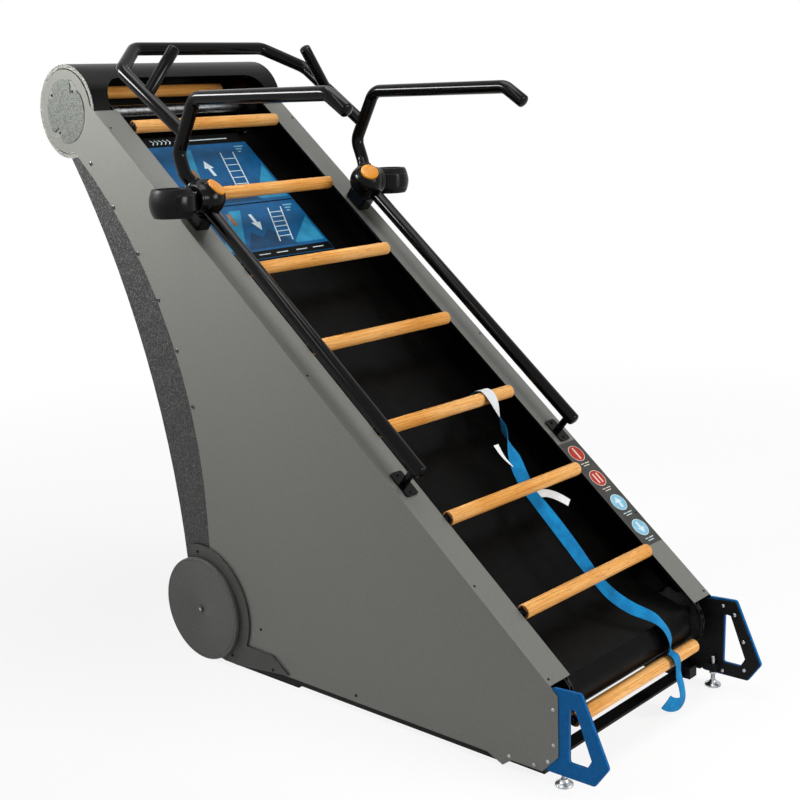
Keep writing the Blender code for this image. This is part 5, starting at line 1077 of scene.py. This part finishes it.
turn = Matrix((turned_right, turned_up, back)).transposed()
camera.matrix_world = Matrix.Translation(CAMERA_PLACE) @ turn.to_4x4()


# Light and floor: a broad front light and a weaker one above, one for the drum and a strip for the left fold
def area_light(name, place, target, size, power, spread=180.0):
    """A soft lamp of a size in metres and a power in watts, turned to its target."""
    data = bpy.data.lights.new(name, "AREA")
    data.shape = "RECTANGLE"
    data.size, data.size_y = size
    data.energy = power
    data.spread = math.radians(spread)
    lamp = bpy.data.objects.new(name, data)
    bpy.context.scene.collection.objects.link(lamp)
    lamp.location = place
    lamp.rotation_euler = (Vector(target) - Vector(place)).to_track_quat("-Z", "Y").to_euler()


area_light("head_softbox", (-1.5, 1.6, 2.45), (-0.2, 0.5, 1.45), (1.1, 0.4), 13.0, 60.0)
area_light("top_softbox", (0.2, 0.1, 4.2), (0.0, 0.0, 0.9), (2.0, 2.0), 68.0)
area_light("front_softbox", (0.9, -4.2, 1.9), (0.1, -0.1, 0.9), (1.8, 1.4), 125.0)
area_light("fold_strip", (-2.2, -0.25, 3.35), (-0.37, 0.0, 0.95), (0.25, 2.2), 16.0)

# The surroundings look white to the camera and in reflections, and light the machine only weakly
world = bpy.data.worlds.new("studio")
bpy.context.scene.world = world
world.use_nodes = True
tree = world.node_tree
tree.nodes.clear()
path = add(tree, "LightPath").outputs
seen = add(tree, "Math", {0: path["Is Camera Ray"], 1: path["Is Glossy Ray"]}, operation="MAXIMUM")
seen = add(tree, "Math", {0: seen, 1: path["Is Transmission Ray"]}, operation="MAXIMUM")
dim = add(tree, "Background", {"Color": "#ffffff", "Strength": 0.16})
white = add(tree, "Background", {"Color": "#ffffff", "Strength": 1.0})
add(tree, "OutputWorld", {0: add(tree, "MixShader", {0: seen, 1: dim, 2: white})})

# Matt pale floor: it shows the contact shadows near the machine and fades into white from 1.3 m to 4.5 m away
FLOOR = coating("pale_floor_matt", "#fdfdfd", "#fafafa", 300.0, 0.90, 0.02, specular=0.1)
tree = FLOOR.node_tree
path = add(tree, "LightPath").outputs
glow = add(tree, "Emission", {"Color": "#ffffff", "Strength": 1.0})
seen = add(tree, "Math", {0: path["Is Camera Ray"], 1: path["Is Glossy Ray"]}, operation="MAXIMUM")
reach = add(tree, "VectorMath", {0: add(tree, "TexCoord").outputs["Object"]}, operation="LENGTH")
whiten = add(tree, "MapRange", {0: reach.outputs["Value"], 1: 1.3, 2: 4.5, 3: 0.86})
share = add(tree, "Math", {0: seen, 1: whiten}, operation="MULTIPLY")
lit = add(tree, "MixShader", {0: share, 1: tree.nodes["Principled BSDF"], 2: glow})
tree.links.new(lit.outputs[0], tree.nodes["Material Output"].inputs[0])
FLOOR_HALF, FLOOR_THICKNESS = 20.0, 0.02
shape = bmesh.new()
square = block(-FLOOR_HALF, -FLOOR_HALF, FLOOR_HALF, FLOOR_HALF)
slab(shape, [(x, y, -FLOOR_THICKNESS) for x, y in square], Z_AXIS * FLOOR_THICKNESS)
mesh = bpy.data.meshes.new("floor")
shape.to_mesh(mesh)
shape.free()
mesh.materials.append(FLOOR)
floor = bpy.data.objects.new("floor", mesh)
bpy.context.scene.collection.objects.link(floor)
bpy.context.scene.view_settings.view_transform = "Standard"
